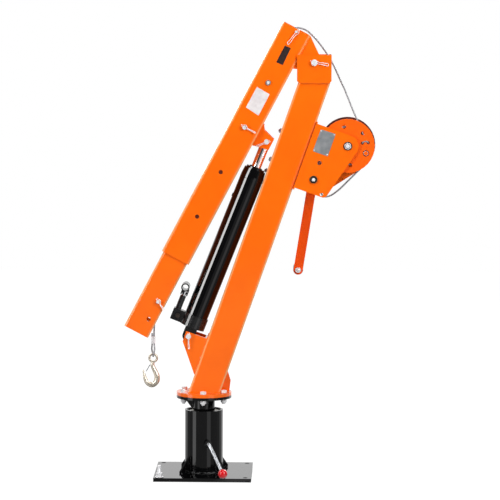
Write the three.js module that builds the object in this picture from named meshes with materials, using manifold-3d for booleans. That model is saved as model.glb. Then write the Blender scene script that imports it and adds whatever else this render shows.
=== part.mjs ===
// Folding pickup truck crane: a swivelling mast, a telescopic boom lifted by a hand-pumped
// jack, and a geared hand winch. Millimetres, X to the right, Y away from the viewer, Z up.
// The origin is the middle of the base plate's underside, on the swivel's axis.
import * as THREE from "three";
import { mergeVertices } from "three/addons/utils/BufferGeometryUtils.js";
import Module from "manifold-3d";

const wasm = await Module();
wasm.setup();

const degrees = Math.PI / 180;
const fullTurn = 2 * Math.PI;

// Fits shared by all pieces
const seatGap = 0.3; // between two pieces that touch
const runGap = 1; // beside a piece that turns or slides
const pinGap = 0.4; // round a pin in its hole
const cutOver = 3; // how far a cut runs past a face

// How finely round shapes are divided
const bigSides = 32;
const roundSides = 20;
const smallSides = 12;
const cornerSegments = 3;
const arcSegments = 10;
const boltSides = 12;
const hexSides = 6;
const ballRows = 10;
const eyeSides = 8;
const leverSides = 8;
const leverSteps = 16;

// Base
const plateSide = 290;
const plateThickness = 11;
const plateHoleSpacing = 255;
const plateHoleRadius = 7;
const columnRadius = 57.15;
const columnWall = 6;
const columnHeight = 186;
const gussetThickness = 6;
const columnGussetReach = 40;
const columnGussetHeight = 47;
const columnGussetLip = 6;
const columnGussets = 4;
const bushDrop = 5; // below the column's rim
const bushRingHeight = 14;
const bushWall = 3.5;
const studRadius = 6;
const studHeight = 36; // above the plate
const studNutRadius = 11;
const studNutHeight = 11;
const studWasherRadius = 13;
const studWasherThickness = 2.5;

// Lock screw and its lever
const lockHeight = 101.4;
const lockAzimuth = 12.5 * degrees;
const lockBossRadius = 11;
const lockBossLength = 12;
const lockScrewRadius = 5;
const lockShankLength = 22; // past the boss
const lockKnobRadius = 14;
const lockKnobAside = 22;
const lockKnobForward = 98;
const lockKnobDrop = 70;
const lockBendShare = 0.14; // where the lever's bend ends, along its slope

// Swivel
const postRadius = 32.5;
const postWall = 5;
const postShow = 36; // between the column's rim and the disc
const discEdge = 13; // past the bolt circle
const swivelDiscThickness = 8;
const mastDiscThickness = 10;
const postGussets = 3;
const postGussetReach = 28;
const postGussetHeight = 30;
const discBolts = 6;
const discBoltClear = 2.1; // between a bolt's head and the mast's foot
const discBoltRadius = 6;
const discBoltHeadRadius = 9;
const discBoltHeadHeight = 8;
const discNutHeight = 10;
const discBoltTail = 9;

// Mast
const mastFootX = 1.5;
const mastLean = 19.25 * degrees;
const mastHeight = 926.7;
const mastWidth = 90;
const tubeWall = 4;
const tubeCorner = 9;
const mastGussetHeight = 62;
const mastGussetKneeHeight = 34;
const mastGussetKneeReach = 30.8; // past the mast's foot
const mastGussetToeReach = 26.8;

// Jack lug on the mast: a bent bracket with two ears
const jackLugInner = 32; // half the gap between its ears
const lugThickness = 6;
const jackLugLow = 41;
const jackLugHigh = 157.5;
const jackLugStrapLow = 54;
const jackLugTipHigh = 157;
const jackLugTipLow = 125;
const jackLugTipReach = 67;
const jackFootReach = 56.3; // the jack's foot pivot, from the mast's face
const jackFootAlong = 145;
const jackPinRadius = 7;
const jackPinHeadRadius = 10.5;
const pinHeadThickness = 4;
const pinTail = 12; // how far a pin stands out for its clip

// Head bracket and boom pivot
const headAside = 1; // between a cheek and the boom's side
const headThickness = 6;
const headPast = 3.3; // of a cheek, past the mast's slanting face
const headHeight = 83;
const headChamfer = 6;
const pivotRise = 60;
const pivotPinRadius = 9;
const pivotPinHeadRadius = 13;
const foldSpread = 144.24; // how far the folded boom's line stands off the mast's foot

// Boom
const boomWidth = 90;
const boomAside = 3; // added to both half widths, from the pivot to the boom's axis
const boomTail = 64.5; // behind the pivot
const boomLength = 770;
const boomHolePitch = 150;
const lockPinAlong = 265.5;
const boomHoleRadius = 6.5;
const boomHolesAbove = 1; // of the lock pin
const boomHolesBelow = 2;
const lockPinRadius = 6;
const lockPinHeadRadius = 9;
const stopBoltHeadRadius = 9;
const stopBoltHeadHeight = 6;
const rearRollerInset = 8.5;
const rearRollerOffset = 3;
const rearRollerRadius = 8;
const rearPinRadius = 4;
const rearPinHeadRadius = 6.8;
const pivotLugInset = 5; // of a lug plate's outer face, from the boom's side
const pivotLugRadius = 22.6;
const pivotLugLow = 45;
const pivotSleeveRadius = 15;
const headLugInner = 20;
const headLugAbove = 42.3; // of the jack's head pivot
const headLugShoulderAbove = 27.2;
const headLugShoulderDrop = 12;
const headLugTipAbove = 15.8;
const headLugTipBelow = 19.2;
const headLugBelow = 29.6;
const headLugDepth = 49.5;
const headLugStrap = 4;
const jackHeadDrop = 32.3; // the jack's head pivot, from the boom's face
const jackHeadShare = 0.27792; // of the mast's length, from the boom's pivot

// Boom extension
const innerPlay = 1; // a side, inside the boom
const innerCorner = 8;
const innerReach = 251.5; // past the boom's end
const innerRearPast = 30; // behind the lock pin
const tipPinInset = 111.7;
const tipPinOffset = 15.6;
const tipRollerRadius = 9;
const tipPinRadius = 5;
const tipPinHeadRadius = 8;
const tipHoleInset = 51.4;
const tipHoleRadius = 6.5;
const tipSlotHalf = 11;
const tipSlotPast = 25; // behind the tip roller

// Jack
const jackRadius = 35;
const jackWall = 4;
const jackBaseTop = 63;
const jackBaseLow = 26;
const jackBaseRadius = 38;
const jackTaperHeight = 23;
const jackTaperRadius = 32.5;
const jackGlandRadius = 28;
const jackGlandHeight = 5.5;
const jackGlandDepth = 16;
const jackEyeRadius = 18;
const ramRadius = 15;
const ramShown = 85.23; // from the gland to the head's pivot
const ramFoot = 110;
const ramPistonHeight = 20;
const ramHeadBelow = 22;
const ramHeadAbove = 12;
const ramHeadHalf = 14;
const pumpReach = 58.5; // the pump's axis, from the jack's axis
const pumpBlockReach = 71;
const pumpBlockHalf = 16;
const pumpCylinderRadius = 9;
const pumpCylinderTop = 104;
const pumpPistonRadius = 6;
const pumpPistonLow = 84;
const pumpPistonTop = 117;
const pumpPivotBack = 15; // behind the piston
const pumpPivotHeight = 112;
const pumpPostHalf = 5;
const pumpPinRadius = 2.5;
const pumpEyeRadius = 3.7; // the piston's eye, with room for the pin's arc
const pumpEyeBack = 0.9;
const socketHeight = 134;
const socketAside = 3.5;
const socketRadius = 12.5;
const socketBore = 9;
const socketFront = 50;
const socketBack = 10;
const leverCheek = 4;
const leverLow = 106;
const leverBackPast = 6;
const valveAside = 52;
const valveHeight = 45;
const valveStemRadius = 4;
const valveStemLength = 8;
const valveKnobRadius = 7;
const valveKnobLength = 10;

// Winch
const winchHalf = 52; // half width over the side plates
const winchPlate = 4;
const winchBelow = 169; // from the drum's axis, along the mast
const winchAbove = 31.5;
const winchTab = 6; // how far the web stands past the side plates
const winchToeReach = 89; // from the web's back to the lower corner
const winchToeCorner = 14;
const toeBendShare = 0.25; // of the corner
const winchNose = 32;
const drumReach = 110.5; // from the web's back to the drum's axis
const drumDrop = 141.58; // from the mast's top
const farNose = 81;
const farNoseDrop = 7;
const farBelow = 162;
const farAbove = 18;
const winchBoltRadius = 5;
const winchBoltTail = 8;
const winchBoltHeadRadius = 8;
const winchBoltHeadHeight = 6;
const winchNutHeight = 5;
const winchBoltDrop = [26, 114, 154]; // from the drum's axis
const winchBoltAcross = [0, -28, 28];
const spareHoleRadius = 6.5;
const toeHoleRadius = 5;
const toeHoleInset = 7.5;
const toeHoleReach = 85.5;
const drumShaftRadius = 7;
const drumNutRadius = 11.5;
const drumNutHeight = 8;
const drumShaftTail = 6;
const drumFlangeRadius = 80;
const drumFlangeThickness = 3;
const drumFarFlangeRadius = 82.5;
const drumFarFlangeThickness = 2;
const drumFlangeY = -44;
const drumBarrelRadius = 51.7;
const drumBarrelWall = 4;
const drumHubRadius = 13;
const drumHoleRadius = 6;
const drumHoleCircle = 58;
const drumHoleAngles = [101, 40.4, -82].map((angle) => angle * degrees);
const clampAngle = -22 * degrees;
const clampRadius = 7;
const clampHeight = 3;

// Gears: the train runs from the drum through the idler to the crank
const gearModule = 3;
const pressureAngle = 25 * degrees;
const addendumShare = 0.8; // of the module
const dedendumShare = 1;
const backlash = 0.5;
const drumTeeth = 50;
const idlerPinionTeeth = 15;
const idlerGearTeeth = 23;
const crankTeeth = 12;
const drumGearY = 30;
const drumGearWidth = 8;
const idlerGearWidth = 7;
const idlerAngle = -129.6 * degrees; // from the drum's axis, in the winch's own plane
const crankAngle = -90 * degrees; // from the idler's axis
const idlerAxleRadius = 6;
const idlerCollarRadius = 10;
const idlerCollarWidth = 4;
const idlerNutRadius = 9;
const idlerNutHeight = 6;

// Crank, ratchet and pawl
const crankShaftRadius = 8;
const crankShaftTail = 5;
const ratchetTeeth = 14;
const ratchetRadius = 26;
const ratchetDepth = 4;
const ratchetWidth = 5;
const pawlReach = 47; // from the crank's axis to the pawl's stud
const pawlAngle = 20 * degrees;
const pawlEyeRadius = 7;
const pawlStudRadius = 3.5;
const pawlClear = 1.5;
const pawlHalf = 3.5;
const crankArmY = 68;
const crankArmThickness = 6;
const crankArmHalf = 14;
const crankThrow = 285;
const crankSwing = 9 * degrees; // from straight down
const crankHubRadius = 16;
const gripRadius = 15;
const gripLength = 110;
const gripWaist = 12.5;
const gripCollarShare = 0.125; // places along the grip, as shares of its length
const gripWaistShare = 0.25;
const gripSwellShare = 0.5;
const gripShoulderShare = 0.9;
const spindleRadius = 5;
const spindleNutRadius = 8;
const spindleNutHeight = 5;
const crankBoltHeight = 5;

// Cable and its winding
const cableRadius = 2.5;
const cableSides = 8;
const windingTurns = 11;
const windingPitch = 5.7;
const windingSteps = 24;
const windingSides = 6;
const windingStart = 2.6; // from the gear's face to the first turn's edge
const cableLeaveAngle = 24.4 * degrees;
const slackFrontAngle = -7.4 * degrees;
const slackFrontY = -20.2;
const slackBackAngle = -140.2 * degrees;
const slackBackY = -12.4;
const cableArcSteps = 10;
const cableInBoomSteps = 24;
const cableToBoomSteps = 30;
const slackSteps = 26;
const dropSteps = 48;
const cableBendShare = 0.25; // of the extension's reach, where the cable turns to the tip roller

// Chosen places along the cable from the drum to the boom's rear roller
const toBoomRoute = [
  [464, -36.8, 1045],
  [452.5, -34, 1070.7],
  [440.4, -31, 1097.4],
  [428.3, -28, 1127.1],
  [416.2, -24, 1156.7],
  [402.5, -20, 1186.3],
  [389.1, -16, 1215.9],
  [374, -12, 1245.5],
  [354, -8, 1276],
  [329.1, -4, 1307.4],
  [300, -1, 1333.5],
];

// Chosen places along the slack loop under the drum
const slackRoute = [
  [491, -21, 964],
  [474, -21.5, 935],
  [450.5, -22, 911],
  [428.5, -21, 888.9],
  [397.5, -20, 858.8],
  [372, -19, 842],
  [355, -18, 841],
  [346, -17, 856],
  [346, -16, 885],
  [354, -14, 915],
];

// Chosen places along the hook's cable, from the ferrule's middle line and the tip roller's axis
const dropRoute = [
  [4.6, 0, -40],
  [2.9, 0, -103],
  [2.9, 0, -109.5],
  [2.9, 0, -131.5],
  [3.6, -1.6, -138],
  [4.6, -5, -147],
  [3.4, -7.2, -156],
  [0.8, -6, -166],
  [0, 0, -170.5],
  [-0.8, 6, -166],
  [-3.4, 7.2, -156],
  [-4.6, 5, -147],
  [-3.6, 1.6, -138],
  [-2.9, 0, -131.5],
  [-2.9, 0, -109.5],
  [-2.9, 0, -100.5],
];
const dropArcShares = [0.9, 0.45]; // of the boom's slant, round the tip roller
const rollerArcShares = [0, 0.25, 0.5, 0.75, 1];

// Hook, hanging from the tip roller
const ferruleTop = 109.5; // below the tip roller's axis
const ferruleHeight = 22;
const ferruleHalfWidth = 6.6;
const ferruleHalfDepth = 4.3;
const strandHalf = 2.9; // half the distance between the two strands
const dropAside = 2; // how far the ferrule hangs past the roller's side
const hookEyeDrop = 175; // below the tip roller's axis
const hookEyeRadius = 11.5;
const hookEyeThickness = 3.5;
const hookRadius = 7.6;
const hookTipShare = 0.42; // the tip's thickness, of the body's
const hookNeckRadius = 6;
const latchLength = 23;
const latchThickness = 1.6;
const latchHalf = 3.5;
const latchAside = 8.2; // from the hook's axis to the latch's pivot
const latchDrop = 22; // below the eye's middle
const latchAsideShare = 0.5; // of its length
const latchDownShare = 0.86;
const latchTipShare = 0.8;
const hookThickShare = 1.15; // of the hook's radius, at the bottom of its bowl
const hookThickPlace = 1.1; // moves the thickest place along the bowl
const hookSteps = 18;
const hookSides = 8;
const hookBowlDrop = 79.5; // from the eye's middle to the bowl's
// The hook's middle line along X and Z, as shares of the bowl's drop
const hookLineShares = [
  [-0.006, -0.145],
  [-0.025, -0.258],
  [0.019, -0.384],
  [0.097, -0.549],
  [0.154, -0.717],
  [0.128, -0.874],
  [-0.031, -1],
  [-0.206, -0.933],
  [-0.305, -0.739],
  [-0.335, -0.557],
  [-0.361, -0.453],
];

// Places that follow from the sizes above
const columnTop = plateThickness + columnHeight;
const swivelDiscLow = columnTop + postShow;
const swivelDiscTop = swivelDiscLow + swivelDiscThickness;
const mastDiscLow = swivelDiscTop + seatGap;
const mastFootZ = mastDiscLow + mastDiscThickness;
const mastTopX = mastFootX + mastHeight * Math.tan(mastLean);
const mastTopZ = mastFootZ + mastHeight;
const mastHalf = mastWidth / 2;
const mastFace = mastHalf + seatGap;
const mastLevelHalf = mastHalf / Math.cos(mastLean); // half of a level cut through the mast
const mastFootFace = mastFootX + mastLevelHalf;
const mastTopAlong = mastHeight / Math.cos(mastLean);
const boomRest = mastLean + Math.asin(foldSpread / mastTopAlong); // from straight down
const discBoltCircle = (mastFootFace + discBoltHeadRadius + discBoltClear) / Math.cos(Math.PI / discBolts);
const discRadius = discBoltCircle + discEdge;
const headInner = boomWidth / 2 + headAside;
const headHalfWidth = mastLevelHalf + headPast;
const pivot = new THREE.Vector3(mastTopX, 0, mastTopZ + pivotRise);
const boomX = -mastHalf - boomWidth / 2 - boomAside;
const boomFaceX = boomX + boomWidth / 2;
const boomLow = boomTail - boomLength;
const innerWidth = boomWidth - 2 * (tubeWall + innerPlay);
const pivotLugOuter = boomWidth / 2 - pivotLugInset;
const boomInnerHalf = boomWidth / 2 - tubeWall;
const innerLow = boomLow - innerReach;
const tipPinX = boomX + tipPinOffset;
const tipPinZ = innerLow + tipPinInset;
const rearRollerX = boomX + rearRollerOffset;
const rearRollerZ = boomTail - rearRollerInset;
const jackHeadX = boomFaceX + jackHeadDrop;
const jackHeadAlong = mastTopAlong * jackHeadShare;
const webBack = mastFace;
const webFront = webBack + winchPlate;
const drumX = webBack + drumReach;
const drumAlong = mastTopAlong - drumDrop;
const winchLow = drumAlong - winchBelow;
const winchHigh = drumAlong + winchAbove;
const winchBoltAlong = winchBoltDrop.map((drop) => drumAlong - drop);
const idlerDistance = ((drumTeeth + idlerPinionTeeth) * gearModule) / 2;
const crankDistance = ((idlerGearTeeth + crankTeeth) * gearModule) / 2;
const idlerX = drumX + idlerDistance * Math.cos(idlerAngle);
const idlerZ = drumAlong + idlerDistance * Math.sin(idlerAngle);
const crankX = idlerX + crankDistance * Math.cos(crankAngle);
const crankZ = idlerZ + crankDistance * Math.sin(crankAngle);
const idlerGearY = drumGearY + drumGearWidth + runGap;
const farPlateY = winchHalf - winchPlate;
const windingRadius = (drumBarrelRadius + seatGap + cableRadius) / Math.cos(Math.PI / windingSteps);
const cableReach = tipRollerRadius + seatGap + cableRadius;

// A point given in the leaning mast's own frame, or in the folded boom's, in the part's frame
function leanPoint(x, z) {
  const turned = new THREE.Vector3(x, 0, z).applyAxisAngle(new THREE.Vector3(0, 1, 0), mastLean);
  return turned.add(new THREE.Vector3(mastFootX, 0, mastFootZ));
}

function boomPoint(x, z) {
  const turned = new THREE.Vector3(x, 0, z).applyAxisAngle(new THREE.Vector3(0, 1, 0), boomRest);
  return turned.add(pivot);
}

const jackFoot = leanPoint(-mastHalf - jackFootReach, jackFootAlong);
const jackHead = boomPoint(jackHeadX, -jackHeadAlong);
const jackLength = jackFoot.distanceTo(jackHead);
const jackLean = Math.atan2(jackHead.x - jackFoot.x, jackHead.z - jackFoot.z);
const jackGlandTop = jackLength - ramShown;
const jackTaperTop = jackGlandTop - jackGlandHeight;
const jackShoulder = jackTaperTop - jackTaperHeight;
const drumCentre = leanPoint(drumX, drumAlong);
const tipCentre = boomPoint(tipPinX, tipPinZ);
const rearCentre = boomPoint(rearRollerX, rearRollerZ);

// Materials
const paint = (color) => new THREE.MeshStandardMaterial({ color, roughness: 0.38, metalness: 0.1 });
const metal = (color, roughness) => new THREE.MeshStandardMaterial({ color, roughness, metalness: 0.9 });
const orange = paint(0xf56200);
const black = new THREE.MeshStandardMaterial({ color: 0x0c0c0e, roughness: 0.25, metalness: 0.1 });
const zinc = metal(0xb9bbbd, 0.35);
const darkSteel = metal(0x4a4845, 0.5);
const chrome = metal(0xe6e6e8, 0.08);
const hookZinc = metal(0xbba98a, 0.45);
const cableSteel = metal(0x9a9a9a, 0.5);
const redPlastic = new THREE.MeshStandardMaterial({ color: 0xd0101c, roughness: 0.25, metalness: 0 });
const rubber = new THREE.MeshStandardMaterial({ color: 0x141414, roughness: 0.7, metalness: 0 });
const nylon = new THREE.MeshStandardMaterial({ color: 0xd8d6cc, roughness: 0.5, metalness: 0 });

// A closed geometry as a solid that can be joined and cut
function solid(geometry) {
  const loose = geometry.index ? geometry.toNonIndexed() : geometry;
  const bare = new THREE.BufferGeometry();
  bare.setAttribute("position", loose.getAttribute("position"));
  const merged = mergeVertices(bare);
  const vertProperties = merged.attributes.position.array;
  const triVerts = new Uint32Array(merged.index.array);
  return new wasm.Manifold(new wasm.Mesh({ numProp: 3, vertProperties, triVerts }));
}

function join(...bodies) {
  return bodies.reduce((whole, body) => whole.add(body));
}

function cut(body, ...tools) {
  return tools.reduce((rest, tool) => rest.subtract(tool), body);
}

function geometryOf(body) {
  const mesh = body.getMesh();
  const indexed = new THREE.BufferGeometry();
  indexed.setAttribute("position", new THREE.BufferAttribute(mesh.vertProperties, 3));
  indexed.setIndex(new THREE.BufferAttribute(mesh.triVerts, 1));
  const faceted = indexed.toNonIndexed();
  faceted.computeVertexNormals();
  return faceted;
}

function addPiece(group, name, body, material) {
  const piece = new THREE.Mesh(geometryOf(body), material);
  piece.name = name;
  group.add(piece);
  return piece;
}

function block(low, high) {
  const size = high.map((value, i) => value - low[i]);
  const geometry = new THREE.BoxGeometry(...size);
  geometry.translate(...low.map((value, i) => value + size[i] / 2));
  return solid(geometry);
}

// Round and hexagonal bars along each axis, from one end to the other
function barY(radius, y0, y1, x, z, sides = roundSides) {
  const geometry = new THREE.CylinderGeometry(radius, radius, y1 - y0, sides);
  geometry.translate(x, (y0 + y1) / 2, z);
  return solid(geometry);
}

function barX(radius, x0, x1, y, z, sides = roundSides) {
  const geometry = new THREE.CylinderGeometry(radius, radius, x1 - x0, sides);
  geometry.rotateZ(Math.PI / 2);
  geometry.translate((x0 + x1) / 2, y, z);
  return solid(geometry);
}

function barZ(radius, z0, z1, x, y, sides = roundSides) {
  const geometry = new THREE.CylinderGeometry(radius, radius, z1 - z0, sides);
  geometry.rotateX(Math.PI / 2);
  geometry.translate(x, y, (z0 + z1) / 2);
  return solid(geometry);
}

// A solid turned from a closed profile of [radius, height] points, standing along Z
function turned(profile, sides = roundSides) {
  const closed = [...profile, profile[0]].map(([radius, height]) => new THREE.Vector2(radius, height));
  const geometry = new THREE.LatheGeometry(closed, sides);
  geometry.rotateX(Math.PI / 2);
  return solid(geometry);
}

function ringZ(outer, inner, z0, z1, sides = roundSides) {
  return turned([[inner, z0], [outer, z0], [outer, z1], [inner, z1]], sides);
}

function ringY(outer, inner, y0, y1, x, z, sides = roundSides) {
  return cut(
    barY(outer, y0, y1, x, z, sides),
    barY(inner, y0 - cutOver, y1 + cutOver, x, z, sides),
  );
}

// A flat plate whose outline lies in X and Z, from y0 to y1
function plateY(shape, y0, y1) {
  const options = { depth: y1 - y0, bevelEnabled: false, curveSegments: arcSegments };
  const geometry = new THREE.ExtrudeGeometry(shape, options);
  geometry.rotateX(Math.PI / 2);
  geometry.translate(0, y1, 0);
  return solid(geometry);
}

function outline(points) {
  return new THREE.Shape(points.map(([x, z]) => new THREE.Vector2(x, z)));
}

function roundedSquare(shape, width, corner, x) {
  const half = width / 2;
  const inset = half - corner;
  shape.absarc(x + inset, inset, corner, 0, Math.PI / 2);
  shape.absarc(x - inset, inset, corner, Math.PI / 2, Math.PI);
  shape.absarc(x - inset, -inset, corner, Math.PI, Math.PI + Math.PI / 2);
  shape.absarc(x + inset, -inset, corner, Math.PI + Math.PI / 2, fullTurn);
  return shape;
}

// A square tube with rounded corners along Z
function squareTube(width, wall, corner, x, z0, z1) {
  const shape = roundedSquare(new THREE.Shape(), width, corner, x);
  shape.holes.push(roundedSquare(new THREE.Path(), width - 2 * wall, corner - wall, x));
  const options = { depth: z1 - z0, bevelEnabled: false, curveSegments: cornerSegments };
  const geometry = new THREE.ExtrudeGeometry(shape, options);
  geometry.translate(0, 0, z0);
  return solid(geometry);
}

// A round bar along a smooth curve through the points
function bentBar(points, radius, sides, steps) {
  const path = new THREE.CatmullRomCurve3(points, false, "centripetal");
  const section = [];
  for (let i = 0; i < sides; i++) {
    const angle = (fullTurn * i) / sides;
    section.push(new THREE.Vector2(radius * Math.cos(angle), radius * Math.sin(angle)));
  }
  const options = { steps, extrudePath: path, bevelEnabled: false };
  return solid(new THREE.ExtrudeGeometry(new THREE.Shape(section), options));
}

// Where a line from a point touches a circle, as an angle round the circle
function tangentAngle(x, z, centreX, centreZ, radius, side) {
  const away = Math.hypot(x - centreX, z - centreZ);
  const towards = Math.atan2(z - centreZ, x - centreX);
  return towards + side * Math.acos(radius / away);
}

// Half the angle that a tooth fills at a given radius
function toothHalfAngle(radius, teeth) {
  const pitch = (gearModule * teeth) / 2;
  const base = pitch * Math.cos(pressureAngle);
  const here = Math.acos(Math.min(1, base / Math.max(radius, base)));
  const involute = (angle) => Math.tan(angle) - angle;
  const atPitch = Math.PI / (2 * teeth) - backlash / (4 * pitch);
  return atPitch + involute(pressureAngle) - involute(here);
}

// A spur gear's outline, with one tooth centred at the given angle
function gearShape(teeth, phase, bore, x, z) {
  const pitch = (gearModule * teeth) / 2;
  const tip = pitch + gearModule * addendumShare;
  const root = pitch - gearModule * dedendumShare;
  const flanks = [root, pitch, tip].map((radius) => [radius, toothHalfAngle(radius, teeth)]);
  const points = [];
  const place = (radius, angle) =>
    points.push([x + radius * Math.cos(angle), z + radius * Math.sin(angle)]);
  for (let i = 0; i < teeth; i++) {
    const middle = phase + (fullTurn * i) / teeth;
    flanks.forEach(([radius, half]) => place(radius, middle - half));
    [...flanks].reverse().forEach(([radius, half]) => place(radius, middle + half));
  }
  const shape = outline(points);
  if (bore > 0) shape.holes.push(new THREE.Path().absarc(x, z, bore, 0, fullTurn));
  return shape;
}

// A clevis pin: a plain end for its clip on the near side, a head on the far side
function clevisPin(radius, headRadius, half, x, z) {
  const headLow = half + seatGap;
  return join(
    barY(radius, -half - pinTail, headLow + pinHeadThickness / 2, x, z, smallSides),
    barY(headRadius, headLow, headLow + pinHeadThickness, x, z, smallSides),
  );
}

const crane = new THREE.Group();
crane.name = "pickup_truck_crane";

function buildBase() {
  const half = plateSide / 2;
  const holeAt = plateHoleSpacing / 2;
  let plate = block([-half, -half, 0], [half, half, plateThickness]);
  for (const x of [-holeAt, holeAt]) {
    for (const y of [-holeAt, holeAt]) {
      plate = cut(plate, barZ(plateHoleRadius, -cutOver, plateThickness + cutOver, x, y));
    }
  }
  addPiece(crane, "base_plate", plate, black);

  const foot = plateThickness + seatGap;
  const bore = columnRadius - columnWall;
  let column = ringZ(columnRadius, bore, foot, columnTop, bigSides);
  for (let i = 0; i < columnGussets; i++) {
    const inner = columnRadius - columnWall / 2;
    const shape = outline([
      [inner, foot],
      [columnRadius + columnGussetReach, foot],
      [columnRadius + columnGussetReach, foot + columnGussetLip],
      [columnRadius + columnGussetLip, foot + columnGussetHeight],
      [inner, foot + columnGussetHeight],
    ]);
    const gusset = geometryOf(plateY(shape, -gussetThickness / 2, gussetThickness / 2));
    gusset.rotateZ((fullTurn * (i + 0.5)) / columnGussets);
    column = join(column, solid(gusset));
  }
  const bossSkin = columnRadius - columnWall / 2;
  const boss = barY(lockBossRadius, -columnRadius - lockBossLength, -bossSkin, 0, lockHeight);
  const screwHole = barY(lockScrewRadius + pinGap, -columnRadius * 2, 0, 0, lockHeight, smallSides);
  const turnedBoss = solid(geometryOf(boss).rotateZ(lockAzimuth));
  const turnedHole = solid(geometryOf(screwHole).rotateZ(lockAzimuth));
  addPiece(crane, "base_column", cut(join(column, turnedBoss), turnedHole), black);

  const bushTop = columnTop - bushDrop;
  const bushInner = postRadius + pinGap;
  const bushOuter = bore - seatGap;
  const sleeve = bushInner + bushWall;
  const bush = turned([
    [bushInner, foot],
    [bushOuter, foot],
    [bushOuter, foot + bushRingHeight],
    [sleeve, foot + bushRingHeight],
    [sleeve, bushTop - bushRingHeight],
    [bushOuter, bushTop - bushRingHeight],
    [bushOuter, bushTop],
    [bushInner, bushTop],
  ], bigSides);
  addPiece(crane, "column_bush", cut(bush, turnedHole), nylon);

  const washerTop = foot + studWasherThickness;
  const stud = join(
    barZ(studRadius, seatGap, plateThickness + studHeight, -holeAt, -holeAt, smallSides),
    barZ(studWasherRadius, foot, washerTop, -holeAt, -holeAt, smallSides),
    barZ(studNutRadius, foot, washerTop + studNutHeight, -holeAt, -holeAt, hexSides),
  );
  addPiece(crane, "anchor_stud", stud, zinc);
}

// The lock screw presses on the post; its lever bends down to a ball in front of the plate
function buildLock() {
  const group = new THREE.Group();
  group.rotation.z = lockAzimuth;
  crane.add(group);
  const bendY = -columnRadius - lockBossLength - lockShankLength;
  const knob = new THREE.Vector3(lockKnobAside, bendY - lockKnobForward, lockHeight - lockKnobDrop);
  const bend = new THREE.Vector3(0, bendY, lockHeight);
  const slope = knob.clone().sub(bend);
  const points = [
    new THREE.Vector3(0, -postRadius - seatGap, lockHeight),
    new THREE.Vector3(0, -columnRadius - lockBossLength - runGap, lockHeight),
    new THREE.Vector3(0, bendY + lockShankLength / 2, lockHeight),
    bend.clone().addScaledVector(slope, lockBendShare),
    knob.clone().addScaledVector(slope, -lockKnobRadius / slope.length() / 2),
  ];
  const lever = bentBar(points, lockScrewRadius, leverSides, leverSteps);
  const ball = new THREE.SphereGeometry(lockKnobRadius, roundSides, ballRows);
  ball.rotateX(Math.PI / 2);
  ball.translate(knob.x, knob.y, knob.z);
  const grown = points.map((point, i) => (i === points.length - 1 ? knob.clone() : point));
  const socket = bentBar(grown, lockScrewRadius + seatGap, leverSides, leverSteps);
  addPiece(group, "lock_lever", lever, zinc);
  addPiece(group, "lock_knob", cut(solid(ball), socket), redPlastic);
}

function buildSwivel() {
  const bore = postRadius - postWall;
  let post = turned([
    [bore, plateThickness + seatGap],
    [postRadius, plateThickness + seatGap],
    [postRadius, swivelDiscLow],
    [discRadius, swivelDiscLow],
    [discRadius, swivelDiscTop],
    [bore, swivelDiscTop],
  ], bigSides);
  for (let i = 0; i < postGussets; i++) {
    const inner = postRadius - postWall / 2;
    const shape = outline([
      [inner, swivelDiscLow + swivelDiscThickness / 2],
      [inner, swivelDiscLow - postGussetHeight],
      [postRadius + columnGussetLip, swivelDiscLow - postGussetHeight],
      [postRadius + postGussetReach, swivelDiscLow],
      [postRadius + postGussetReach, swivelDiscLow + swivelDiscThickness / 2],
    ]);
    const gusset = geometryOf(plateY(shape, -gussetThickness / 2, gussetThickness / 2));
    gusset.rotateZ(Math.PI + (fullTurn * i) / postGussets);
    post = join(post, solid(gusset));
  }
  let disc = barZ(discRadius, mastDiscLow, mastFootZ, 0, 0, bigSides);
  for (let i = 0; i < discBolts; i++) {
    const angle = -Math.PI / 2 + (fullTurn * i) / discBolts;
    const x = discBoltCircle * Math.cos(angle);
    const y = discBoltCircle * Math.sin(angle);
    const headLow = mastFootZ + seatGap;
    const nutTop = swivelDiscLow - seatGap;
    const tail = nutTop - discNutHeight - discBoltTail;
    const holeRadius = discBoltRadius + pinGap;
    const hole = barZ(holeRadius, swivelDiscLow - cutOver, mastFootZ + cutOver, x, y, smallSides);
    post = cut(post, hole);
    disc = cut(disc, hole);
    const bolt = join(
      barZ(discBoltRadius, tail, headLow + discBoltHeadHeight / 2, x, y, boltSides),
      barZ(discBoltHeadRadius, headLow, headLow + discBoltHeadHeight, x, y, hexSides),
      barZ(discBoltHeadRadius, nutTop - discNutHeight, nutTop, x, y, hexSides),
    );
    addPiece(crane, "disc_bolt_" + (i + 1), bolt, zinc);
  }
  addPiece(crane, "swivel_post", post, black);
  addPiece(crane, "mast_disc", disc, orange);
}

const mast = new THREE.Group();
mast.position.set(mastFootX, 0, mastFootZ);
mast.rotation.y = mastLean;
crane.add(mast);

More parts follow.
